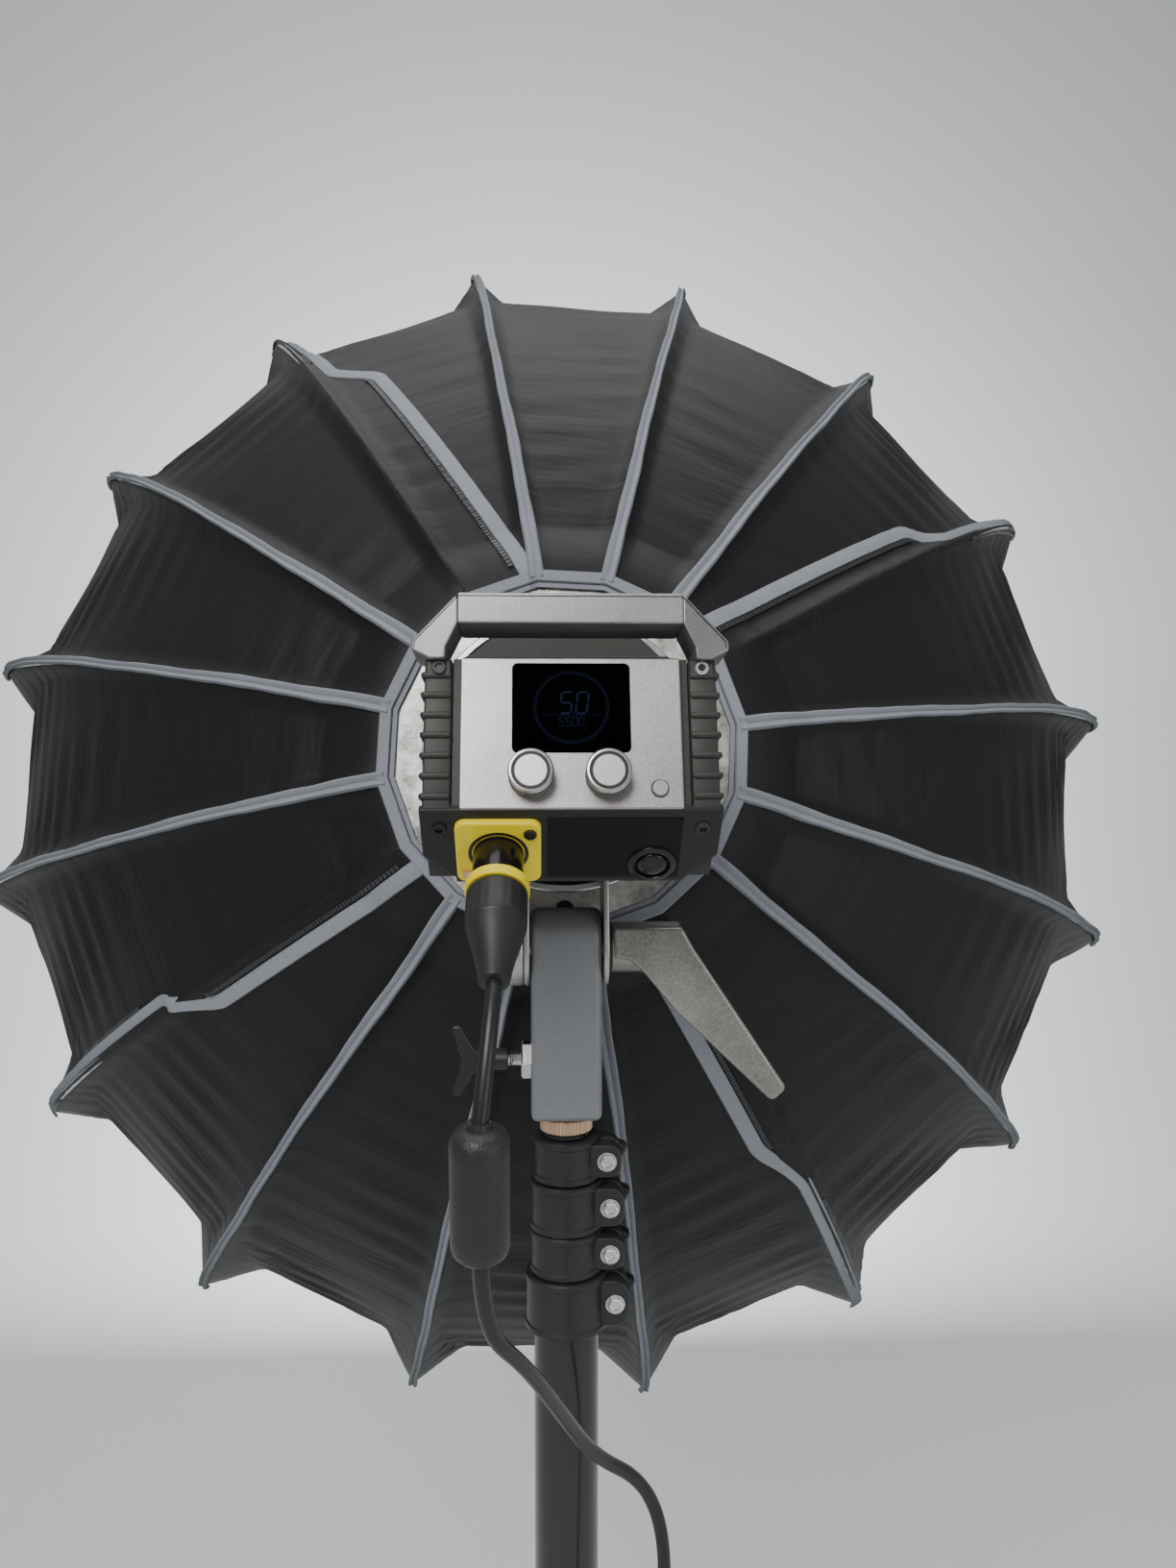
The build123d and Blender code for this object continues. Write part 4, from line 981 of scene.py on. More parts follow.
    def neck_ring(self) -> None:
        """The tape round the neck, sixteen-sided, and the narrow turned edge inside it."""
        place = np.linspace(0.0, self.ribs, self.ribs * 8 + 1)
        for name, radius, half, top, finish in (("neck_tape", 0.0937, 0.0033, 0.0256, TAPE),
                                                ("neck_margin", 0.0889, 0.0015, 0.0272, TAPE)):
            rings = []
            for across, height in ((-1, 1.2), (-0.8, 0.0), (0.8, 0.0), (1, 1.2), (0.8, 1.6), (-0.8, 1.6),
                                   (-1, 1.2)):
                rings.append(self.around(place[:-1], np.full(len(place) - 1, radius + across * half),
                                         np.full(len(place) - 1, top + height * MM)))
            uv = np.stack([np.repeat(np.arange(7)[:, None] * MM, len(place) - 1, 1),
                           np.repeat(place[None, :-1] * 0.036, 7, 0)], axis=2)
            piece(name, grid(np.array(rings), wrap=True, uv=uv), finish, "head", sharp=60)

    def front_cloths(self) -> None:
        """The bulging front diffuser and the flat baffle behind it."""
        hem_radius, hem_along = self.arc(np.array([self.hem - 0.03]),
                                         np.array([0.003 + 0.025 * 0.705 + 0.003]))
        flat = np.linspace(0.0, 1.0, 48)[:, None]
        place = np.linspace(0.0, self.ribs, self.ribs * 8 + 1)[:-1][None, :]
        bulge = 0.016 * (1 - flat ** 2)
        radius = np.maximum(flat, 1e-4) * hem_radius * 0.995
        points = self.around(place + 0 * flat, radius + 0 * place, hem_along + bulge + 0 * place)
        angle = place * 2 * math.pi / self.ribs
        uv = np.stack([radius * np.sin(angle), radius * np.cos(angle)], axis=2)
        front = piece("diffusion_cloth", grid(points, wrap=True, uv=uv, flip=True), WHITE, "head",
                      ["front_diffuser"], closed=False, sharp=180)
        low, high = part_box("inner_baffle")
        size = (high[0] - low[0]) / 2
        centre = OPTICAL.at(0.0, 0.0, self.baffle_along)
        ripple = 0.003 * (1 - flat) * np.cos(3 * angle)
        local = np.stack([radius / radius.max() * size * 0.99 * np.sin(angle),
                          radius / radius.max() * size * 0.99
                          * np.cos(angle), ripple], axis=2)
        baffle = piece("baffle_cloth", grid(centre.place(local), wrap=True, uv=uv), WHITE, "head",
                       ["inner_baffle"], closed=False, sharp=180)


# ---------------------------------------------------------------- lamp head
DIGIT_STROKES = {"0": "abcdef", "5": "acdfg"}
STROKE_PLACES = {"a": (0.0, 1.0, True), "b": (0.5, 0.5, False), "c": (0.5, -0.5, False),
                 "d": (0.0, -1.0, True),
                 "e": (-0.5, -0.5, False), "f": (-0.5, 0.5, False), "g": (0.0, 0.0, True)}


def digits(text: str, centre: Sequence[float], height: float) -> Shape:
    """A number in seven-stroke figures, flat in local x and y.

    Args:
        text: the figures.
        centre: middle of the number.
        height: height of a figure.

    Returns:
        The strokes as thin plates.
    """
    shapes = []
    pitch = height * 0.72
    thick = height * 0.055
    slant = 0.12
    for place, figure in enumerate(text):
        middle = centre[0] + (place - (len(text) - 1) / 2) * pitch
        for stroke in DIGIT_STROKES[figure]:
            across, up, level = STROKE_PLACES[stroke]
            x, y = middle + across * height * 0.5, centre[1] + up * height * 0.5
            half = (height * 0.20, thick) if level else (thick, height * 0.21)
            corners = np.array([(x - half[0], y - half[1]), (x + half[0], y - half[1]),
                                (x + half[0], y + half[1]), (x - half[0], y + half[1])])
            corners[:, 0] += slant * (corners[:, 1] - centre[1])
            shapes.append(slab(corners, 0.00071, 0.00078, 0.00001, steps=1))
    return joined(shapes)


@dataclass
class LampHead:
    """The lamp's casing seen from behind: panels, fins, handle, controls, inlet and plug."""

    panel_half: float = 0.0439
    fin_inner: float = 0.0473
    fin_outer: float = 0.0597
    fin_rows: int = 7
    front: float = -0.036
    screen: tuple = (0.047, 0.037)
    dials: dict = field(default_factory=lambda: {"dial_left": -0.016, "dial_right": 0.014})
    dial_up: float = 0.0134
    dial_radius: float = 0.0089
    inlet: tuple = (-0.029, 0.020)
    rocker: tuple = (0.033, 0.0115)
    button: tuple = (0.0345, 0.0085)
    sweep: float = 0.16

    def build(self) -> None:
        """All of the lamp head's pieces."""
        self.control_face()
        self.display()
        for node, x in self.dials.items():
            self.dial(node, x)
        self.button_rim()
        self.fins()
        self.handle()
        self.port_face()
        self.inlet_and_plug()
        self.screws()
        self.flange_rim()

    def control_face(self) -> None:
        """The bright plate that carries the display and the dials."""
        corners = [(-self.panel_half, 0.0002), (self.panel_half, 0.0002), (self.panel_half, CONTROL_L),
                   (-self.panel_half, CONTROL_L)]
        plate = slab(rounded_corners(corners, 0.0010), -0.0029, 0.0, 0.0007)
        piece("control_face", plate.placed(CONTROL), PANEL, "head", ["control_panel"])

    def display(self) -> None:
        """The black glass with a faint ring, a line and two numbers."""
        width, height = self.screen
        middle = CONTROL_L - 0.0025 - height / 2
        corners = [(-width / 2, middle - height / 2), (width / 2, middle - height / 2),
                   (width / 2, middle + height / 2), (-width / 2, middle + height / 2)]
        glass = slab(rounded_corners(corners, 0.0022), 0.0, 0.0007, 0.0004)
        piece("display_glass", glass.placed(CONTROL), GLASS, "head", ["display_window"])
        angle = np.linspace(0, 2 * math.pi, 121)[:-1]
        rings = []
        for radius in (0.0139, 0.0142, 0.0147, 0.0150):
            rings.append(np.stack([radius * np.cos(angle), middle + radius * np.sin(angle),
                                   np.full_like(angle, 0.00074)], axis=1))
        shapes = [grid(np.array(rings[:2]), wrap=True, flip=True),
                  grid(np.array(rings[2:]), wrap=True, flip=True)]
        low, high = middle - 0.0033, middle - 0.0031
        bar = [(-0.0122, low), (0.0122, low), (0.0122, high), (-0.0122, high)]
        shapes.append(slab(np.array(bar), 0.00071, 0.00076, 0.00001, steps=1))
        shapes += [digits("50", (0.0012, middle + 0.0018), 0.0088),
                   digits("5500", (0.0, middle - 0.0059), 0.0037)]
        piece("display_marks", joined(shapes).placed(CONTROL), MARK, "head", closed=False)

    def dial(self, node: str, x: float) -> None:
        """A turned dial: dark knurled side, bright bevel, groove filled in black as painted shade, and plain
        face.
        """
        segments = 96
        r = self.dial_radius
        side = [(0.003, 0.0004), (r - 0.0006, 0.0004), (r, 0.0012), (r, 0.0026), (r - 0.0003, 0.0030),
                (r - 0.0002, 0.0034), (r - 0.0002, 0.0080), (r - 0.0003, 0.0084), (r - 0.0003, 0.0088),
                (0.003, 0.0088)]
        rim = [(r - 0.0020, 0.0086), (r, 0.0086), (r + 0.0001, 0.0090), (r, 0.0094), (r - 0.0006, 0.0103),
               (r - 0.0012, 0.0104), (r - 0.0014, 0.0102), (r - 0.0014, 0.0094), (r - 0.0020, 0.0094),
               (r - 0.0020, 0.0086)]
        face = [(0.0, 0.0088), (r - 0.0026, 0.0088), (r - 0.0026, 0.0102), (r - 0.0028, 0.0104),
                (0.0, 0.0104)]
        space = CONTROL.at(x, self.dial_up, 0.0)
        knurled = lathe(side, segments, knurl(side, segments, 5, 7))
        piece(node + "_side", knurled.placed(space), KNURL, node, [node], sharp=28)
        bright = joined([lathe(rim, segments), lathe(face, segments)])
        piece(node + "_face", bright.placed(space), DIAL, node, sharp=28)
        # A black ring fills the groove: painted shade in the recess.
        groove = ring(r - 0.0028, r - 0.0013, 0.0090, 0.0102, segments)
        piece(node + "_groove_painted_shade", groove.placed(space), BLACK_METAL_AND_PAINTED_SHADE, node)

    def button_rim(self) -> None:
        """The push button, with a black ring round it as painted shade in the gap."""
        space = CONTROL.at(*self.button, 0.0)
        # A black ring round the button: painted shade in the gap.
        gap = lathe([(0.0033, 0.00002), (0.0037, 0.00008), (0.0037, 0.00002), (0.0033, 0.00002)], 48)
        piece("button_gap_painted_shade", gap.placed(space), BLACK_METAL_AND_PAINTED_SHADE, "head")
        cap = lathe([(0.0, -0.0040), (0.00325, -0.0040), (0.00325, 0.0010), (0.0029, 0.0014),
                     (0.0, 0.0014)], 48)
        piece("button_cap", cap.placed(space), PANEL, "push_button", ["push_button"])

    def fin_back(self, z: float) -> float:
        """Where the back of the fins is at a height: on the control panel's slope."""
        share = (z - BACK_MID[1]) / (BACK_TOP[1] - BACK_MID[1])
        return BACK_MID[0] + share * (BACK_TOP[0] - BACK_MID[0]) - 0.0004

    def fins(self) -> None:
        """The dark side blocks with thin raised ribs, and a flat boss round each top screw."""
        shapes = []
        low, high = 0.0562, 0.1176
        for side in (-1, 1):
            profile = [(self.fin_back(low) + 0.0013, low), (self.front, low), (self.front, high),
                       (self.fin_back(high) + 0.0013, high)]
            ends = sorted((side * self.fin_inner, side * (self.fin_outer - 0.0014)))
            block = slab(rounded_corners(profile, [0.0008, 0.0005, 0.0005, 0.0012], 4), *ends, 0.0011,
                         both=True)
            shapes.append(block.placed(HEAD.turned(SIDEWAYS)))
            for row in range(self.fin_rows):
                z = 0.0615 + row * 0.0082
                back = self.fin_back(z)
                corners = [(self.fin_inner + 0.0004, back), (self.fin_outer - 0.0012, back),
                           (self.fin_outer, back + 0.0012), (self.fin_outer, self.front - 0.004),
                           (self.fin_inner + 0.0004, self.front - 0.004)]
                outline = rounded_corners(corners, [0.0004, 0.0006, 0.0006, 0.0005, 0.0004], 4)
                rib = slab(mirrored(outline, side), z - 0.0013, z + 0.0013, 0.0010, both=True)
                shapes.append(rib.placed(HEAD))
            across = sorted((side * 0.0479, side * 0.0573))
            boss = box(across, (CONTROL_L - 0.0079, CONTROL_L - 0.0012), (-0.0030, 0.0004), 0.0005, 0.0006)
            shapes.append(boss.placed(CONTROL))
        piece("side_blocks", joined(shapes), FIN, "head", ["side_fins"])

    def handle(self) -> None:
        """The carrying handle: a bright bar, its two swept ends drawn darker as painted shade, the fine line
        along its edge, and the dark hood in front of it, standing for the dark casing top and the painted
        shade under the bar."""
        across = HEAD.turned(FACING_BACK)
        bar = [(-0.0450, 0.1306), (0.0450, 0.1306), (0.0450, 0.1430), (-0.0450, 0.1430)]
        middle = slab(rounded_corners(bar, 0.0009), 0.0840, 0.1100, 0.0007, both=True)
        piece("handle_bar", middle.placed(across), HANDLE, "head", ["carry_handle"])
        ends = []
        for side in (-1, 1):
            corners = [(0.0500, 0.1166), (0.0560, 0.1166), (0.0634, 0.1205), (0.0634, 0.1242),
                       (0.0449, 0.1429), (0.0449, 0.1307), (0.0497, 0.1212)]
            outline = rounded_corners(corners, [0.0010, 0.0012, 0.0012, 0.0014, 0.0010, 0.0010, 0.001], 4)
            end = slab(mirrored(outline, side), 0.0842, 0.1100, 0.0007, both=True)
            end.points[:, 2] -= self.sweep * (np.abs(end.points[:, 0]) - 0.045)
            ends.append(end)
        # The ends take the darker handle finish: painted shade.
        piece("handle_ends", joined(ends).placed(across), HANDLE_END_PAINTED_SHADE, "head")
        corners = np.array([(-0.0622, 0.1212), (-0.0622, 0.1238), (-0.0446, 0.1416), (0.0446, 0.1416),
                            (0.0622, 0.1238), (0.0622, 0.1212)])
        share = np.linspace(0, len(corners) - 1, 141)
        line = np.column_stack([np.interp(share, np.arange(len(corners)), corners[:, i]) for i in (0, 1)])
        height = 0.1100 - self.sweep * np.clip(np.abs(line[:, 0]) - 0.045, 0, None)
        groove = tube(across.place(np.column_stack([line, height])), 0.00022, 8)
        piece("handle_line", groove, BLACK_METAL_AND_PAINTED_SHADE, "head")
        # The hood is the dark casing top made a solid dark block so the gap under the bar reads dark: partly
        # its own dark colour, partly painted shade.
        corners = [(-0.0545, 0.1160), (0.0545, 0.1160), (0.0545, 0.1210), (0.0450, 0.1300), (-0.0450, 0.1300),
                   (-0.0545, 0.1210)]
        hood = slab(rounded_corners(corners, 0.003), 0.0370, 0.0560, 0.0015, both=True)
        piece("casing_hood", hood.placed(across), PORT, "head")

    def port_face(self) -> None:
        """The lower panel with its cut corners, the blank label plate and the rocker's bezel."""
        corners = [(-0.0445, 0.0008), (0.0445, 0.0008), (0.0595, 0.0158), (0.0595, PORT_L - 0.0002),
                   (-0.0595, PORT_L - 0.0002), (-0.0595, 0.0158)]
        plate = slab(rounded_corners(corners, 0.001), -0.0029, 0.0, 0.0008)
        piece("port_face", plate.placed(PORTS), PORT, "head", ["connector_panel"])
        label = [(-0.0095, 0.0035), (0.0440, 0.0035), (0.0440, PORT_L - 0.0045), (-0.0095, PORT_L - 0.0045)]
        cover = slab(rounded_corners(label, 0.0008), 0.0, 0.0005, 0.0002)
        piece("blank_label_plate", cover.placed(PORTS), LABEL, "head")
        space = PORTS.at(*self.rocker, 0.0)
        bezel = lathe([(0.0070, -0.0050), (0.0070, 0.0012), (0.0074, 0.0018), (0.0088, 0.0018),
                       (0.0097, 0.0013), (0.0100, 0.0004), (0.0100, 0.0), (0.0079, 0.0), (0.0079, -0.0050),
                       (0.0070, -0.0050)], 64)
        piece("rocker_ring", bezel.placed(space), GLOSS, "head", ["rocker_bezel"])
        cap = lathe([(0.0, -0.0045), (0.0060, -0.0045), (0.0062, -0.0040), (0.0062, 0.0010), (0.0058, 0.0017),
                     (0.0048, 0.0023), (0.0030, 0.0027), (0.0, 0.0028)], 48)
        piece("rocker_cap", cap.placed(space), GLOSS, "power_rocker", ["power_rocker"])

    def inlet_and_plug(self) -> None:
        """The yellow inlet plate, its screw, and the plug with its ring, fluted grip and strain relief."""
        x, v = self.inlet
        half = 0.017
        corners = [(x - half, v - half), (x + half, v - half), (x + half, v + half), (x - half, v + half)]
        plate = slab(rounded_corners(corners, 0.0042), 0.0, 0.0026, 0.0009)
        space = PORTS.at(x, v, 0.0)
        throat = lathe([(0.0103, -0.013), (0.0103, 0.0024), (0.0106, 0.0027), (0.0118, 0.0028),
                        (0.0122, 0.0025),
                        (0.0122, 0.0010), (0.0109, 0.0), (0.0109, -0.013), (0.0103, -0.013)], 64)
        piece("inlet_plate", plate.placed(PORTS), YELLOW, "head", ["dc_inlet"])
        piece("inlet_throat", throat.placed(space), BLACK, "head")
        nose = lathe([(0.0, -0.0095), (0.0101, -0.0095), (0.0101, 0.0186), (0.0096, 0.0190), (0.0096, 0.0240),
                      (0.0, 0.0240)], 60)
        piece("plug_nose", nose.placed(space), GLOSS, "head")
        profile = [(0.0, 0.0236), (0.0112, 0.0239), (0.0118, 0.0246), (0.0119, 0.0260), (0.0119, 0.0330),
                   (0.0118, 0.0385), (0.0116, 0.0402), (0.0114, 0.0405), (0.0116, 0.0408), (0.0112, 0.0425),
                   (0.0098, 0.0475), (0.0079, 0.0545), (0.0066, 0.0600), (0.0060, 0.0640), (0.0056, 0.0657),
                   (0.0031, 0.0662), (0.0, 0.0662)]
        segments = 72
        ripple = np.zeros((len(profile), segments))
        flute = np.cos(np.arange(segments) * math.pi / 2)
        for row, depth in ((3, 0.00010), (4, 0.00032), (5, 0.00018)):
            ripple[row] = -depth * np.clip(-flute, 0.0, 1.0)
        piece("plug_body", lathe(profile, segments, ripple).placed(space), BLACK, "head",
              ["dc_plug"], sharp=40)
        collar = lathe([(0.0098, 0.0192), (0.0122, 0.0192), (0.0126, 0.0197), (0.0126, 0.0210),
                        (0.0123, 0.0214), (0.0126, 0.0218), (0.0126, 0.0233), (0.0122, 0.0238),
                        (0.0098, 0.0238), (0.0098, 0.0192)], 64)
        piece("plug_collar", collar.placed(space), YELLOW, "head", ["plug_ring"])
        screw = PORTS.at(x + 0.0127, v + 0.0110, 0.0024)
        piece("inlet_screw", screw_head(0.0026).placed(screw), BLACK_METAL_AND_PAINTED_SHADE, "head")

    def screws(self) -> None:
        """The four corner screws of the casing, alike but in bright, dark and black finishes as painted
        highlight and painted shade, with a black disc in each hex socket as painted shade.
        """
        # The screws are alike; their finishes are painted light: the bright top right one a painted
        # highlight, the dark and black ones painted shade.
        places = [(CONTROL, (-0.0525, CONTROL_L - 0.0046, 0.0004), FIN),
                  (CONTROL, (0.0525, CONTROL_L - 0.0046, 0.0004), BARE),
                  (PORTS, (-0.0520, PORT_L - 0.010, 0.0), BLACK_METAL_AND_PAINTED_SHADE),
                  (PORTS, (0.0520, PORT_L - 0.010, 0.0), FIN)]
        # A black disc in each hex socket: painted shade.
        socket_shades = []
        for number, (panel, at, finish) in enumerate(places, 1):
            space = panel.at(*at)
            replaced = ["case_screws"] if number == 1 else []
            screw = screw_head(0.0029).placed(space)
            piece(f"corner_screw_{number}", screw, finish, "head", replaced)
            socket_shades.append(ring(0.0, 0.0015, 0.0001, 0.0004, 24).placed(space))
        piece("screw_socket_painted_shade", joined(socket_shades), BLACK_METAL_AND_PAINTED_SHADE, "head")

    def flange_rim(self) -> None:
        """The bright turned edge of the mounting flange."""
        rim = lathe([(0.0690, 0.0205), (0.0716, 0.0205), (0.0722, 0.0211), (0.0722, 0.0222), (0.0690, 0.0222),
                     (0.0690, 0.0205)], 128)
        piece("flange_rim", rim.placed(OPTICAL), BARE, "head", sharp=25)


def screw_head(radius: float) -> Shape:
    """A cap screw's head with a hexagonal recess: six points inside, a round edge outside."""
    segments = 36
    profile = [(0.0, 0.0), (radius, 0.0), (radius, 0.0009), (radius * 0.88, 0.0013), (radius * 0.60, 0.0013),
               (radius * 0.56, 0.0002), (0.0, 0.0002)]
    ripple = np.zeros((len(profile), segments))
    turn = np.mod(np.arange(segments) * 2 * math.pi / segments, math.pi / 3) - math.pi / 6
    ripple[4:6] = radius * 0.56 * (math.cos(math.pi / 6) / np.cos(turn) - 1)
    return lathe(profile, segments, ripple)


# ---------------------------------------------------------------- tilt bracket


@dataclass
class TiltBracket:
    """The block on the spigot, the cheeks that hang from the lamp, the tilt lever and the lock screw."""

    block_half: float = 0.01675
    block_depth: float = 0.015
    block_z: tuple = (-0.081, 0.019)
    cheek_radius: float = 0.018
    lock_z: float = -0.054

    def build(self) -> None:
        """All of the bracket's pieces."""
        self.block()
        self.cheeks()
        self.lever()
        self.lock_screw()

    def block(self) -> None:
        """The blue grey block, rounded over the pivot, and the nut on its side."""
        depth, (low, high) = self.block_depth, self.block_z
        corners = [(-depth, low), (depth, low), (depth, high), (-depth, high)]
        outline = rounded_corners(corners, [0.0046, 0.0046, depth * 0.98, depth * 0.98], 14)
        body = slab(outline, -self.block_half, self.block_half, 0.0036, both=True, steps=5)
        nut = lathe([(0.0033, 0.0), (0.0094, 0.0), (0.0094, 0.0038), (0.0084, 0.0045), (0.0033, 0.0045),
                     (0.0033, 0.0)], 6)
        side = PIVOT.child((-0.0169, 0, self.lock_z), *OUT_LEFT)
        piece("tilt_block", body.placed(PIVOT.turned(SIDEWAYS)), BLOCK, "receiver",
              ["receiver_block"])
        piece("side_nut", nut.placed(side), BARE, "receiver")
        cap = lathe([(0.0, 0.0), (0.0066, 0.0), (0.0066, 0.0040), (0.0056, 0.0050), (0.0, 0.0050)], 40)
        place = PIVOT.child((-0.0329, 0, 0), *OUT_LEFT)
        piece("bolt_cap", cap.placed(place), BLACK, "receiver")

    def cheeks(self) -> None:
        """The two hanging plates, round about the pivot; the left one carries a thick boss."""
        r = self.cheek_radius
        space = HEAD.turned(SIDEWAYS)
        for name, low, high, top in (("left_boss", -0.0325, -0.0201, 0.0375),
                                     ("left_cheek", -0.0200, -0.0174, 0.044),
                                     ("right_cheek", 0.0174, 0.0200, 0.044)):
            corners = [(-r, -r), (r, -r), (r, top), (-r, top)]
            outline = rounded_corners(corners, [r * 0.99, r * 0.99, 0.0022, 0.0022], 18)
            plate = slab(outline, low, high, 0.0009 if high - low < 0.01 else 0.0016, both=True)
            piece(name, plate.placed(space), CHEEK, "head",
                  ["yoke_bracket"] if name == "left_boss" else [])
        bridge = box((-0.0200, 0.0200), (-r, r), (0.0415, 0.0438), 0.0006)
        piece("bracket_bridge", bridge.placed(HEAD), CHEEK, "head")

    def lever(self) -> None:
        """The speckled tilt lever: a round hub with a flat tapering arm, rounded at its end."""
        hub = lathe([(0.00405, 0.0), (0.0112, 0.0), (0.0120, 0.0008), (0.0120, 0.0325), (0.0110, 0.0337),
                     (0.0, 0.0337), ], 56)
        arm = [(0.0222, -0.0036), (0.0300, -0.0042), (0.0370, -0.0110), (0.0520, -0.0290), (0.0978, -0.0728),
               (0.1050, -0.0665), (0.0600, 0.0015), (0.0547, 0.0110), (0.0222, 0.0110)]
        outline = rounded_corners(arm, [0.0022, 0.005, 0.006, 0.008, 0.003, 0.003, 0.006, 0.0024, 0.0022], 6)
        plate = slab(outline, 0.0020, 0.0126, 0.0016, both=True)
        hub_space = PIVOT.child((0.0210, 0, 0), *SIDEWAYS)
        piece("lever_body", joined([hub.placed(hub_space), plate.placed(PIVOT.turned(FACING_BACK))]), LEVER,
              "tilt_lever", ["tilt_lever"])
        washer = ring(0.0088, 0.0124, 0.0, 0.0011, 56).placed(PIVOT.child((0.0202, 0, 0), *SIDEWAYS))
        piece("lever_washer", washer, BLACK, "receiver")

    def lock_screw(self) -> None:
        """The wing screw that holds the block on the spigot."""
        out = PIVOT.child((-0.0083, 0, self.lock_z), *OUT_LEFT)
        thread = lathe([(0.0, 0.0), (0.0029, 0.0), (0.0032, 0.0003)] + [
            (0.0032 if i % 2 else 0.0029, 0.0006 + 0.0005 * i) for i in range(38)] + [(0.0032, 0.0200),
                                                                                     (0.0, 0.0202)], 24)
        hub = lathe([(0.0, 0.0195), (0.0046, 0.0195), (0.0050, 0.0200), (0.0050, 0.0330), (0.0042, 0.0340),
                     (0.0, 0.0340)], 32)
        wing = [(-0.0550, -0.0170), (-0.0505, -0.0170), (-0.0440, -0.0060), (-0.0400, -0.0040),
                (-0.0400, 0.0040), (-0.0440, 0.0060), (-0.0505, 0.0170), (-0.0550, 0.0170), (-0.0500, 0.0)]
        outline = rounded_corners(wing, [0.0015, 0.0015, 0.003, 0.001, 0.001, 0.003, 0.0015, 0.0015, 0.004],
                                  5)
        plate = slab(outline, -0.0030, 0.0030, 0.0012, both=True)
        piece("screw_thread", thread.placed(out), BARE, "lock_screw")
        wing_space = PIVOT.child((0, 0, self.lock_z), *FACING_BACK)
        piece("screw_wing", joined([hub.placed(out), plate.placed(wing_space)]), BLACK, "lock_screw",
              ["lock_screw"])


# ---------------------------------------------------------------- stand
@dataclass(frozen=True)
class MastSection:
    """One tube of the mast with the collar on its top."""

    node: str
    body: str
    tube_radius: float
    foot: float
    collar_radius: float
    collar_z: tuple


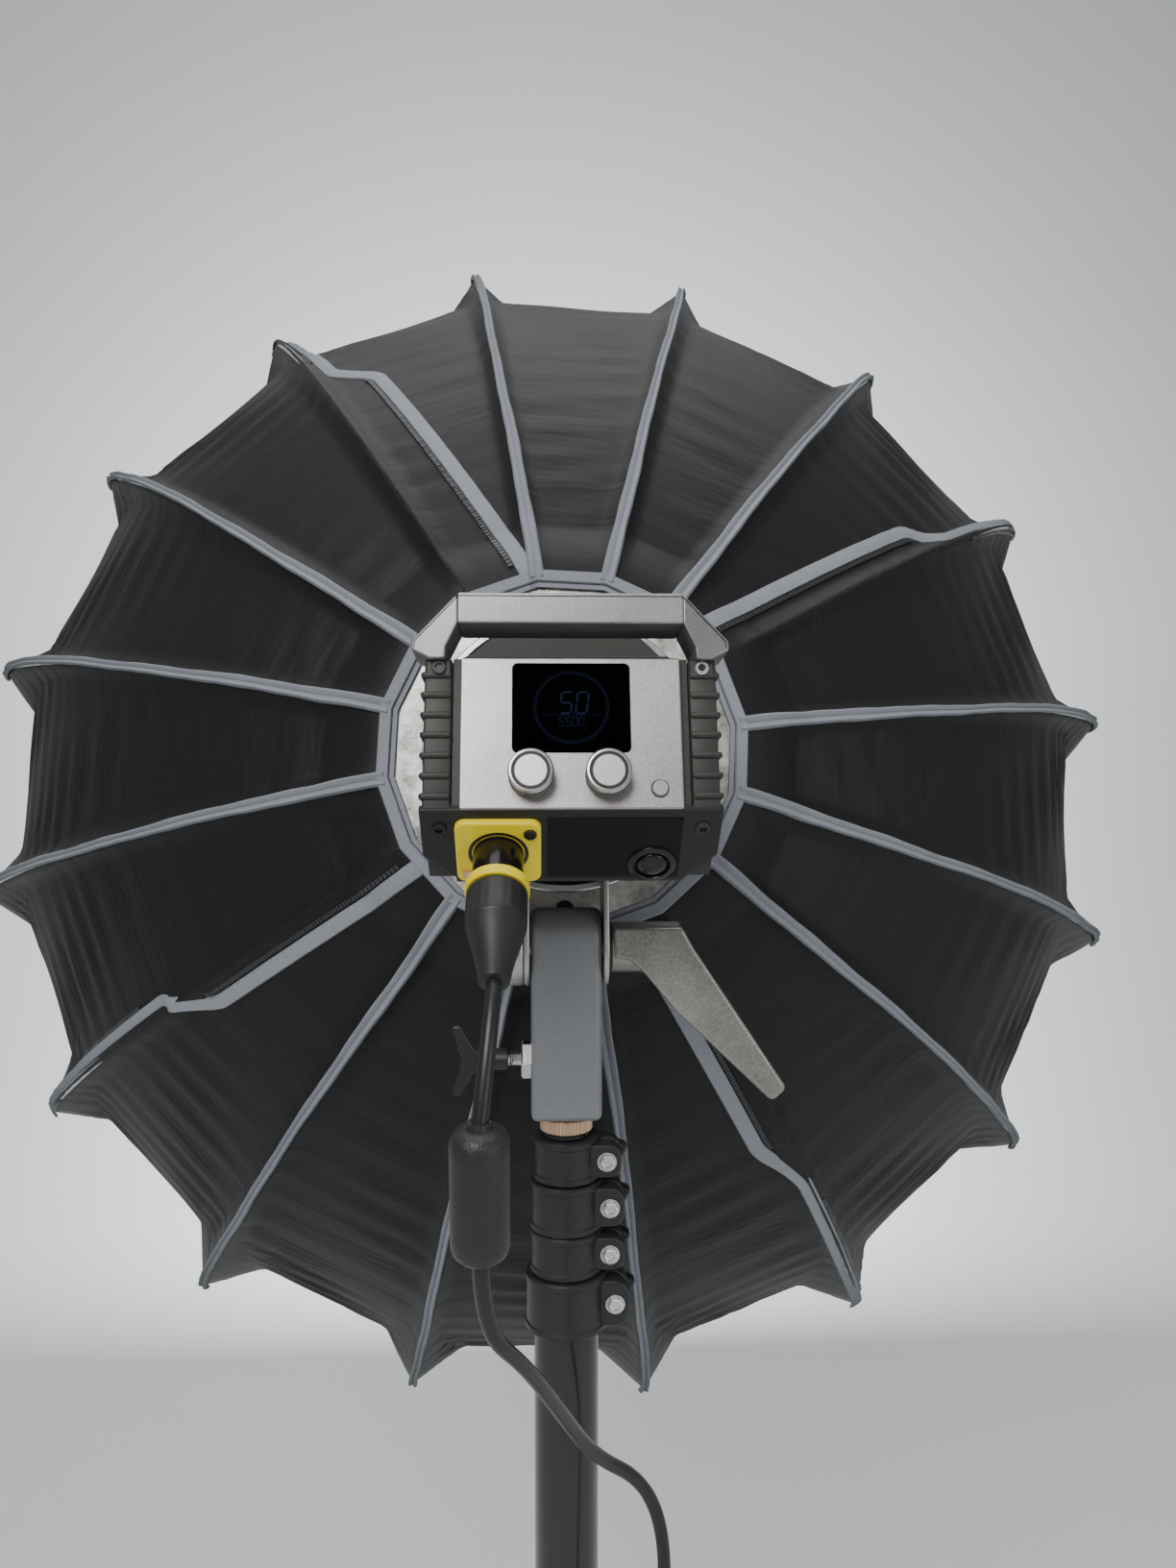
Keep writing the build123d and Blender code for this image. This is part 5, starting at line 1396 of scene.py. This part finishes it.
@dataclass
class Stand:
    """The five-section light stand: tubes, clamp collars, knobs, top cap and rubber feet."""

    sections: tuple = (
        MastSection("base_section", "stand_base", 0.0155, 0.100, 0.0200, (0.9160, 0.9430)),
        MastSection("mast_section_4", "mast_4", 0.0135, 0.130, 0.0175, (0.9434, 0.9640)),
        MastSection("mast_section_3", "mast_3", 0.0115, 0.160, 0.0175, (0.9644, 0.9880)),
        MastSection("mast_section_2", "mast_2", 0.0095, 0.190, 0.0160, (0.9884, 1.0090)),
    )
    bolt_out: float = 0.0032
    tab_half: float = 0.010
    foot_reach: float = 0.470
    leg_directions: tuple = (90.0, 210.0, 330.0)

    def build(self) -> None:
        """All of the stand's pieces."""
        for number, section in enumerate(self.sections):
            self.tube(section)
            self.collar(section)
            self.knob(section, 4 - number)
        self.top()
        self.feet()

    def tube(self, section: MastSection) -> None:
        """A round tube up to its collar."""
        r, low = section.tube_radius, section.foot
        high = section.collar_z[0] + 0.014
        profile = [(0.0, low), (r - 0.0006, low), (r, low + 0.0006), (r, high), (0.0, high)]
        piece(section.node + "_tube", lathe(profile, 72).placed(COLUMN), TUBE, section.body)

    def collar(self, section: MastSection) -> None:
        """A clamp collar with two lips, its split ears and the bright bolt through them."""
        r, (low, high) = section.collar_radius, section.collar_z
        inner = section.tube_radius - 0.0016
        lip = 0.0007
        profile = [(inner, low), (r - 0.0008, low), (r, low + 0.0008), (r, low + 0.0030),
                   (r - lip, low + 0.0036),
                   (r - lip, high - 0.0036), (r, high - 0.0030), (r, high - 0.0008), (r - 0.0008, high),
                   (inner, high)]
        band = lathe(profile, 72).placed(COLUMN)
        bolt_x, middle = r + self.bolt_out, (low + high) / 2
        space = COLUMN.child((0, 0, middle), *FACING_BACK)
        half = (high - low) / 2 - 0.0024
        corners = [(0.0100, -half), (bolt_x + 0.0070, -half), (bolt_x + 0.0070, half), (0.0100, half)]
        outline = rounded_corners(corners, [0.0005, half * 0.7, half * 0.7, 0.0005], 7)
        ears = [slab(outline, a, b, 0.0010, both=True).placed(space)
                for a, b in ((-self.tab_half, -0.0012), (0.0012, self.tab_half))]
        name = section.node + "_collar"
        if section is self.sections[0]:
            name = "base_collar"
            self.leg_bracket()
        piece(name, joined([band] + ears), COLLAR, section.body, [section.node])
        head_space = COLUMN.child((bolt_x, -self.tab_half, middle), *FACING_BACK)
        washer = ring(0.0, 0.0046, 0.0, 0.0006, 36)
        head = lathe([(0.0, 0.0006), (0.0039, 0.0006), (0.0039, 0.0026), (0.0033, 0.0030), (0.0022, 0.0030),
                      (0.0019, 0.0024), (0.0, 0.0024)], 6)
        piece(name + "_bolt", joined([washer, head]).placed(head_space), BARE, section.body)

    def leg_bracket(self) -> None:
        """The fixed bracket at the tube's foot, with its hinge lugs and pins for the three braces."""
        hub = [(0.0156, 0.101), (0.0197, 0.101), (0.0205, 0.1018), (0.0205, 0.1282), (0.0197, 0.129),
               (0.0156, 0.129), (0.0156, 0.101)]
        shapes = [lathe(hub, 60)]
        pins = []
        for direction in self.leg_directions:
            a = math.radians(direction)
            spoke = Space((0, 0, 0), (math.cos(a), math.sin(a), 0), (-math.sin(a), math.cos(a), 0))
            for low, high in ((0.0045, 0.0080), (0.0118, 0.0153)):
                lug = [(0.0175, 0.108), (0.0330, 0.108), (0.0330, 0.122), (0.0175, 0.122)]
                outline = rounded_corners(lug, [0.0005, 0.004, 0.004, 0.0005])
                plate = slab(outline, -high, -low, 0.0005, both=True)
                shapes.append(plate.placed(spoke.turned(FACING_BACK)))
            pin = ring(0.0, 0.0025, 0.0030, 0.0168, 20)
            pins.append(pin.placed(spoke.child((0.028, 0, 0.115), *FACING_FRONT)))
        piece("leg_bracket", joined(shapes).placed(COLUMN), COLLAR, "stand_base")
        piece("leg_bracket_pins", joined(pins).placed(COLUMN), BARE, "stand_base")

    def knob(self, section: MastSection, number: int) -> None:
        """A clamp's T knob on the far side of its ears."""
        bolt_x = section.collar_radius + self.bolt_out
        middle = sum(section.collar_z) / 2
        away = COLUMN.child((bolt_x, 0, middle), *FACING_FRONT)
        hub = lathe([(0.0, -0.0098), (0.0025, -0.0098), (0.0025, 0.0104), (0.0046, 0.0104), (0.0055, 0.0112),
                     (0.0055, 0.0170), (0.0045, 0.0180), (0.0, 0.0180)], 32)
        lean = math.radians(-30.0)
        across, along = (math.cos(lean), -math.sin(lean), 0), (math.sin(lean), math.cos(lean), 0)
        wing_space = away.turned((across, along, (0, 0, 1)))
        wing = [(-0.012, -0.0040), (-0.004, -0.0030), (0.004, -0.0030), (0.012, -0.0040), (0.012, 0.0040),
                (0.004, 0.0030), (-0.004, 0.0030), (-0.012, 0.0040)]
        plate = slab(rounded_corners(wing, 0.0014, 4), 0.0165, 0.0248, 0.0014, both=True)
        node = f"clamp_knob_{number}"
        grip = joined([hub.placed(away), plate.placed(wing_space)])
        piece(node + "_grip", grip, BLACK, node, [node])

    def top(self) -> None:
        """The innermost tube, its gloss cap and the knurled brass ring under the block."""
        cap = [(0.0, 1.0094), (0.0112, 1.0094), (0.0118, 1.0099), (0.0118, 1.0112), (0.0112, 1.0116),
               (0.0, 1.0116)]
        tube_and_cap = joined([ring(0.0, 0.0075, 0.220, 1.0095), lathe(cap, 64)])
        piece("top_section", tube_and_cap.placed(COLUMN), TUBE, "mast_top", ["top_tube"])
        segments = 120
        profile = [(0.0, 1.0118), (0.0118, 1.0118), (0.0124, 1.0124), (0.0124, 1.0181), (0.0118, 1.0187),
                   (0.0, 1.0187)]
        knurled = lathe(profile, segments, knurl(profile, segments, 2, 4))
        piece("brass_ring", knurled.placed(COLUMN), BRASS, "mast_top", sharp=25)
        stud = [(0.0, 1.0185), (0.0080, 1.0185), (0.0080, 1.0730), (0.0070, 1.0740), (0.0, 1.0740)]
        piece("steel_spigot", lathe(stud, 48).placed(COLUMN), BARE, "mast_top", ["spigot"])

    def feet(self) -> None:
        """A rubber boot on each leg."""
        profile = [(0.0, 0.0), (0.0104, 0.0), (0.0112, 0.0008), (0.0112, 0.0055), (0.0106, 0.0062),
                   (0.0112, 0.0069), (0.0112, 0.0150), (0.0100, 0.0164), (0.0, 0.0166)]
        for number, direction in enumerate(self.leg_directions, 1):
            a = math.radians(direction)
            space = COLUMN.at(self.foot_reach * math.cos(a), self.foot_reach * math.sin(a), 0)
            boot = lathe(profile, 40).placed(space)
            piece(f"leg_{number}_boot", boot, RUBBER, f"leg_{number}")


# ---------------------------------------------------------------- lead
class Reach(Enum):
    """Where a length of the lead goes on."""

    OBJECT = "object"
    CONNECTOR = "connector"


@dataclass
class Lead:
    """The supply lead: one line of smooth splines from the plug, through the ferrite, down to a coil."""

    radius: float = 0.003
    upper: tuple = ((-0.0290, -0.1373, 1.1130), (-0.0300, -0.1533, 1.0991), (-0.0335, -0.1580, 1.0680))
    middle: tuple = ((-0.0335, -0.1520, 1.0200), (-0.0335, -0.1485, 0.9920), (-0.0180, -0.1260, 0.9660),
                     (-0.0115, -0.1110, 0.9480))
    side: tuple = ((-0.0115, -0.1110, 0.9480), (-0.0052, -0.0965, 0.9306), (0.0100, -0.0680, 0.8930),
                   (0.0220, -0.0580, 0.8805))
    lower: tuple = ((0.0220, -0.0580, 0.8805), (0.0340, -0.0480, 0.8680), (0.0440, -0.0460, 0.8380),
                    (0.0410, -0.0520, 0.7950), (0.0360, -0.0620, 0.7220), (0.0390, -0.0700, 0.6400),
                    (0.0450, -0.0740, 0.5560), (0.0430, -0.0800, 0.4700), (0.0370, -0.0840, 0.3850),
                    (0.0380, -0.0900, 0.3000), (0.0440, -0.0940, 0.2180), (0.0420, -0.0990, 0.1400),
                    (0.0375, -0.1030, 0.0840), (0.0360, -0.1080, 0.0500), (0.0355, -0.1190, 0.0210),
                    (0.0362, -0.1400, 0.0058))
    coil_centre: tuple = (0.0, -0.165)
    coil_radii: tuple = (0.0362, 0.0300, 0.0300, 0.0362)
    coil_heights: tuple = (0.0034, 0.0034, 0.0096, 0.0096)
    coil_turns: float = 3.47
    coil_start: float = math.radians(4.0)
    end: tuple = ((-0.0378, -0.1500, 0.0092), (-0.0420, -0.1385, 0.0088))
    ferrite_radius: float = 0.0105

    def route(self, points: Sequence[Sequence[float]]) -> Array:
        """Points along the smooth spline that has these control points.

        Args:
            points: control points in the column's frame.

        Returns:
            Points of the spline in the row frame.
        """
        curve = bpy.data.curves.new("route", "CURVE")
        curve.dimensions = "3D"
        spline = curve.splines.new("NURBS")
        spline.points.add(len(points) - 1)
        for target, point in zip(spline.points, COLUMN.place(np.array(points))):
            target.co = (*point, 1.0)
        spline.order_u = 3
        spline.use_endpoint_u = True
        spline.resolution_u = 10
        holder = bpy.data.objects.new("route", curve)
        mesh = bpy.data.meshes.new_from_object(holder)
        found = np.zeros(len(mesh.vertices) * 3)
        mesh.vertices.foreach_get("co", found)
        bpy.data.objects.remove(holder)
        bpy.data.curves.remove(curve)
        bpy.data.meshes.remove(mesh)
        return found.reshape(-1, 3)

    def coil(self) -> list:
        """Control points of the coil's turns, clockwise: it steps inwards, then up, then outwards."""
        points = []
        steps = 16
        for step in range(1, int(self.coil_turns * steps) + 1):
            turned = step / steps
            turn = min(int(turned), len(self.coil_radii) - 1)
            onward = min(turn + 1, len(self.coil_radii) - 1)
            share = min(max((turned - turn - 0.80) / 0.20, 0.0), 1.0)
            radius = self.coil_radii[turn] * (1 - share) + self.coil_radii[onward] * share
            height = self.coil_heights[turn] * (1 - share) + self.coil_heights[onward] * share
            angle = self.coil_start - turned * 2 * math.pi
            points.append((self.coil_centre[0] + radius * math.cos(angle),
                           self.coil_centre[1] + radius * math.sin(angle), height))
        return points

    def build(self) -> None:
        """The four lengths of the lead and what is on them."""
        ferrite = self.ferrite()
        self.length("lead_upper", self.upper, ["cord_upper"], None, Reach.OBJECT, [ferrite])
        self.length("lead_middle", self.middle, ["cord_mid"], ("head", "receiver"), Reach.OBJECT, [])
        self.length("lead_side", self.side, ["cord_side"], ("receiver", "mast_top"), Reach.OBJECT, [])
        connector = self.connector()
        points = list(self.lower) + self.coil() + list(self.end)
        self.length("lead_lower", points, ["cord_lower", "cord_coil"], ("mast_top", "stand_base"),
                    Reach.CONNECTOR, [connector])

    def length(self, name: str, points: Sequence[Sequence[float]], nodes: list, bodies: Optional[tuple],
               reach: Reach, on_it: list) -> None:
        """One length of the lead as a tube on its smooth line.

        Args:
            name: the piece's name.
            points: control points in the column's frame.
            nodes: the CAD nodes that it stands for.
            bodies: the two bodies at its ends, or None where it rides on the head.
            reach: what is at its far end; not used.
            on_it: the pieces on it; not used.
        """
        path = self.route(points)
        shape = tube(path, self.radius)
        obj = piece(name, shape, RUBBER, None if bodies else "head", nodes, sharp=60)
        if bodies:
            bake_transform(obj)

    def ferrite(self) -> bpy.types.Object:
        """The pebbled barrel with rounded shoulders and a short sleeve at each end."""
        start, stop = (COLUMN.place(np.array(p)) for p in (self.upper[-1], self.middle[0]))
        way = (stop - start) / np.linalg.norm(stop - start)
        run = float(np.linalg.norm(stop - start))
        side = np.cross(way, (1.0, 0.0, 0.0))
        side = side / np.linalg.norm(side)
        space = Space(tuple(start), tuple(np.cross(side, way)), tuple(side), tuple(way))
        r = self.ferrite_radius
        half = [(0.0, -0.0022), (0.0040, -0.0022), (0.0046, 0.0), (0.0078, 0.0006), (0.0095, 0.0022),
                (r, 0.0050)]
        rise = [(r, run * share) for share in (0.2, 0.4, 0.6, 0.8)]
        profile = half + rise + [(radius, run - height) for radius, height in reversed(half)]
        return piece("ferrite_case", lathe(profile, 48).placed(space), PEBBLE, "head",
                     ["ferrite_barrel"], sharp=50)

    def connector(self) -> bpy.types.Object:
        """The end connector: a ribbed barrel with a taper towards the lead."""
        low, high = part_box("end_connector")
        centre = ((low[0] + high[0]) / 2, low[1], (low[2] + high[2]) / 2)
        space = Space(centre, *FACING_FRONT)
        run = high[1] - low[1]
        profile = [(0.0, -0.0005), (0.0036, -0.0005), (0.0042, 0.0), (0.0060, 0.0120), (0.0074, 0.0180),
                   (0.0084, 0.0200)]
        profile += [(0.0084 if i % 2 else 0.0078, 0.0212 + 0.0012 * i) for i in range(12)]
        profile += [(0.0084, 0.0370), (0.0080, 0.0380), (0.0080, run - 0.001), (0.0072, run), (0.0066, run),
                    (0.0064, run - 0.008), (0.0, run - 0.008)]
        return piece("end_connector_body", lathe(profile, 40).placed(space), BLACK, "stand_base",
                     ["end_connector"], sharp=28)


# ---------------------------------------------------------------- CAD nodes that stay in view
CAD_FINISHES = {
    "ribs": ROD, "speed_ring": CAST, "mount_flange": BLACK_METAL_AND_PAINTED_SHADE, "lamp_barrel": FIN, "lamp_reflector": BARE,
    "led_module": BARE, "heat_sink": BARE, "fan_frame": BLACK, "fan_rotor": BLACK, "rear_casing": FIN,
    "driver_board": BOARD, "inlet_latch": BRASS, "ring_lock_pin": BLACK, "pivot_bolt": BARE,
    "leg_runner": COLLAR, "runner_knob": BLACK, "leg_1": TUBE, "leg_2": TUBE, "leg_3": TUBE,
    "brace_1": TUBE, "brace_2": TUBE, "brace_3": TUBE,
}


def dress_cad_nodes() -> None:
    """Give each CAD node that stays in view its finish."""
    for node, finish in CAD_FINISHES.items():
        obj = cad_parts[node]
        obj.data.materials.clear()
        obj.data.materials.append(finish.material())


# ---------------------------------------------------------------- studio
@dataclass
class Studio:
    """A pale swept floor, soft lights and the camera."""

    camera_at: tuple = (-0.013, -0.540, 1.202)
    pitch: float = math.radians(2.5)
    yaw: float = math.radians(2.5)
    lens: float = 26.0
    floor_half: float = 7.0
    sweep_start: float = 2.2
    sweep_radius: float = 1.6

    def camera(self) -> None:
        """A level camera close behind the lamp, looking slightly down and to the right."""
        data = bpy.data.cameras.new("camera")
        data.lens = self.lens
        data.sensor_width = 36.0
        data.clip_start = 0.02
        camera = bpy.data.objects.new("camera", data)
        camera.location = COLUMN.point(*self.camera_at)
        way = Vector((math.sin(self.yaw) * math.cos(self.pitch), math.cos(self.yaw) * math.cos(self.pitch),
                      -math.sin(self.pitch)))
        camera.rotation_euler = way.to_track_quat("-Z", "Y").to_euler()
        bpy.context.scene.collection.objects.link(camera)
        bpy.context.scene.camera = camera

    def floor(self) -> None:
        """Floor and backdrop in one sheet: flat, then a quarter circle up, then straight."""
        turn = np.linspace(0.0, math.pi / 2, 24)
        y = np.concatenate([[-6.0], self.sweep_start + self.sweep_radius * np.sin(turn),
                            [self.sweep_start + self.sweep_radius]])
        z = np.concatenate([[0.0], self.sweep_radius * (1 - np.cos(turn)), [6.0]])
        x = np.array([-self.floor_half, self.floor_half])
        points = np.stack([np.repeat(x[None], len(y), 0), np.repeat(y[:, None], 2, 1),
                           np.repeat(z[:, None], 2, 1)],
                          axis=2)
        mesh = bpy.data.meshes.new("studio_sweep")
        shape = grid(points, flip=False)
        mesh.from_pydata(shape.points.tolist(), [], shape.faces)
        mesh.shade_smooth()
        material = bpy.data.materials.new("pale paper")
        material.use_nodes = True
        shader = material.node_tree.nodes["Principled BSDF"]
        shader.inputs["Base Color"].default_value = (0.74, 0.76, 0.76, 1.0)
        shader.inputs["Roughness"].default_value = 0.9
        mesh.materials.append(material)
        sweep = bpy.data.objects.new("studio_sweep", mesh)
        bpy.context.scene.collection.objects.link(sweep)

    def light(self, name: str, at: Sequence[float], aim: Sequence[float], size: float, power: float,
              colour: Sequence[float] = (1.0, 1.0, 1.0)) -> None:
        """One square soft light."""
        data = bpy.data.lights.new(name, "AREA")
        data.size = size
        data.energy = power
        data.color = colour
        lamp = bpy.data.objects.new(name, data)
        lamp.visible_camera = False
        lamp.location = at
        lamp.rotation_euler = (Vector(aim) - Vector(at)).to_track_quat("-Z", "Y").to_euler()
        bpy.context.scene.collection.objects.link(lamp)

    def build(self) -> None:
        """Camera, floor and lights."""
        self.camera()
        self.floor()
        self.light("key", (-0.9, -2.4, 2.9), (0.0, -0.1, 1.1), 1.5, 70.0)
        self.light("fill", (2.2, -1.9, 1.3), (0.0, 0.0, 1.1), 1.6, 16.0)
        self.light("top", (0.0, 0.3, 3.2), (0.0, 0.1, 1.0), 2.0, 26.0)
        self.light("backdrop", (0.0, 1.5, 1.25), (0.0, 3.8, 1.25), 0.9, 120.0)
        world = bpy.data.worlds.new("soft grey")
        world.use_nodes = True
        world.node_tree.nodes["Background"].inputs["Color"].default_value = (0.80, 0.82, 0.84, 1.0)
        world.node_tree.nodes["Background"].inputs["Strength"].default_value = 0.34
        bpy.context.scene.world = world


def main() -> None:
    """Build every part of the object in order."""
    logging.basicConfig(level=logging.INFO, format="%(message)s")
    Studio().build()
    Lead().build()
    Dome().build()
    LampHead().build()
    TiltBracket().build()
    Stand().build()
    dress_cad_nodes()


if __name__ == "__main__":
    main()
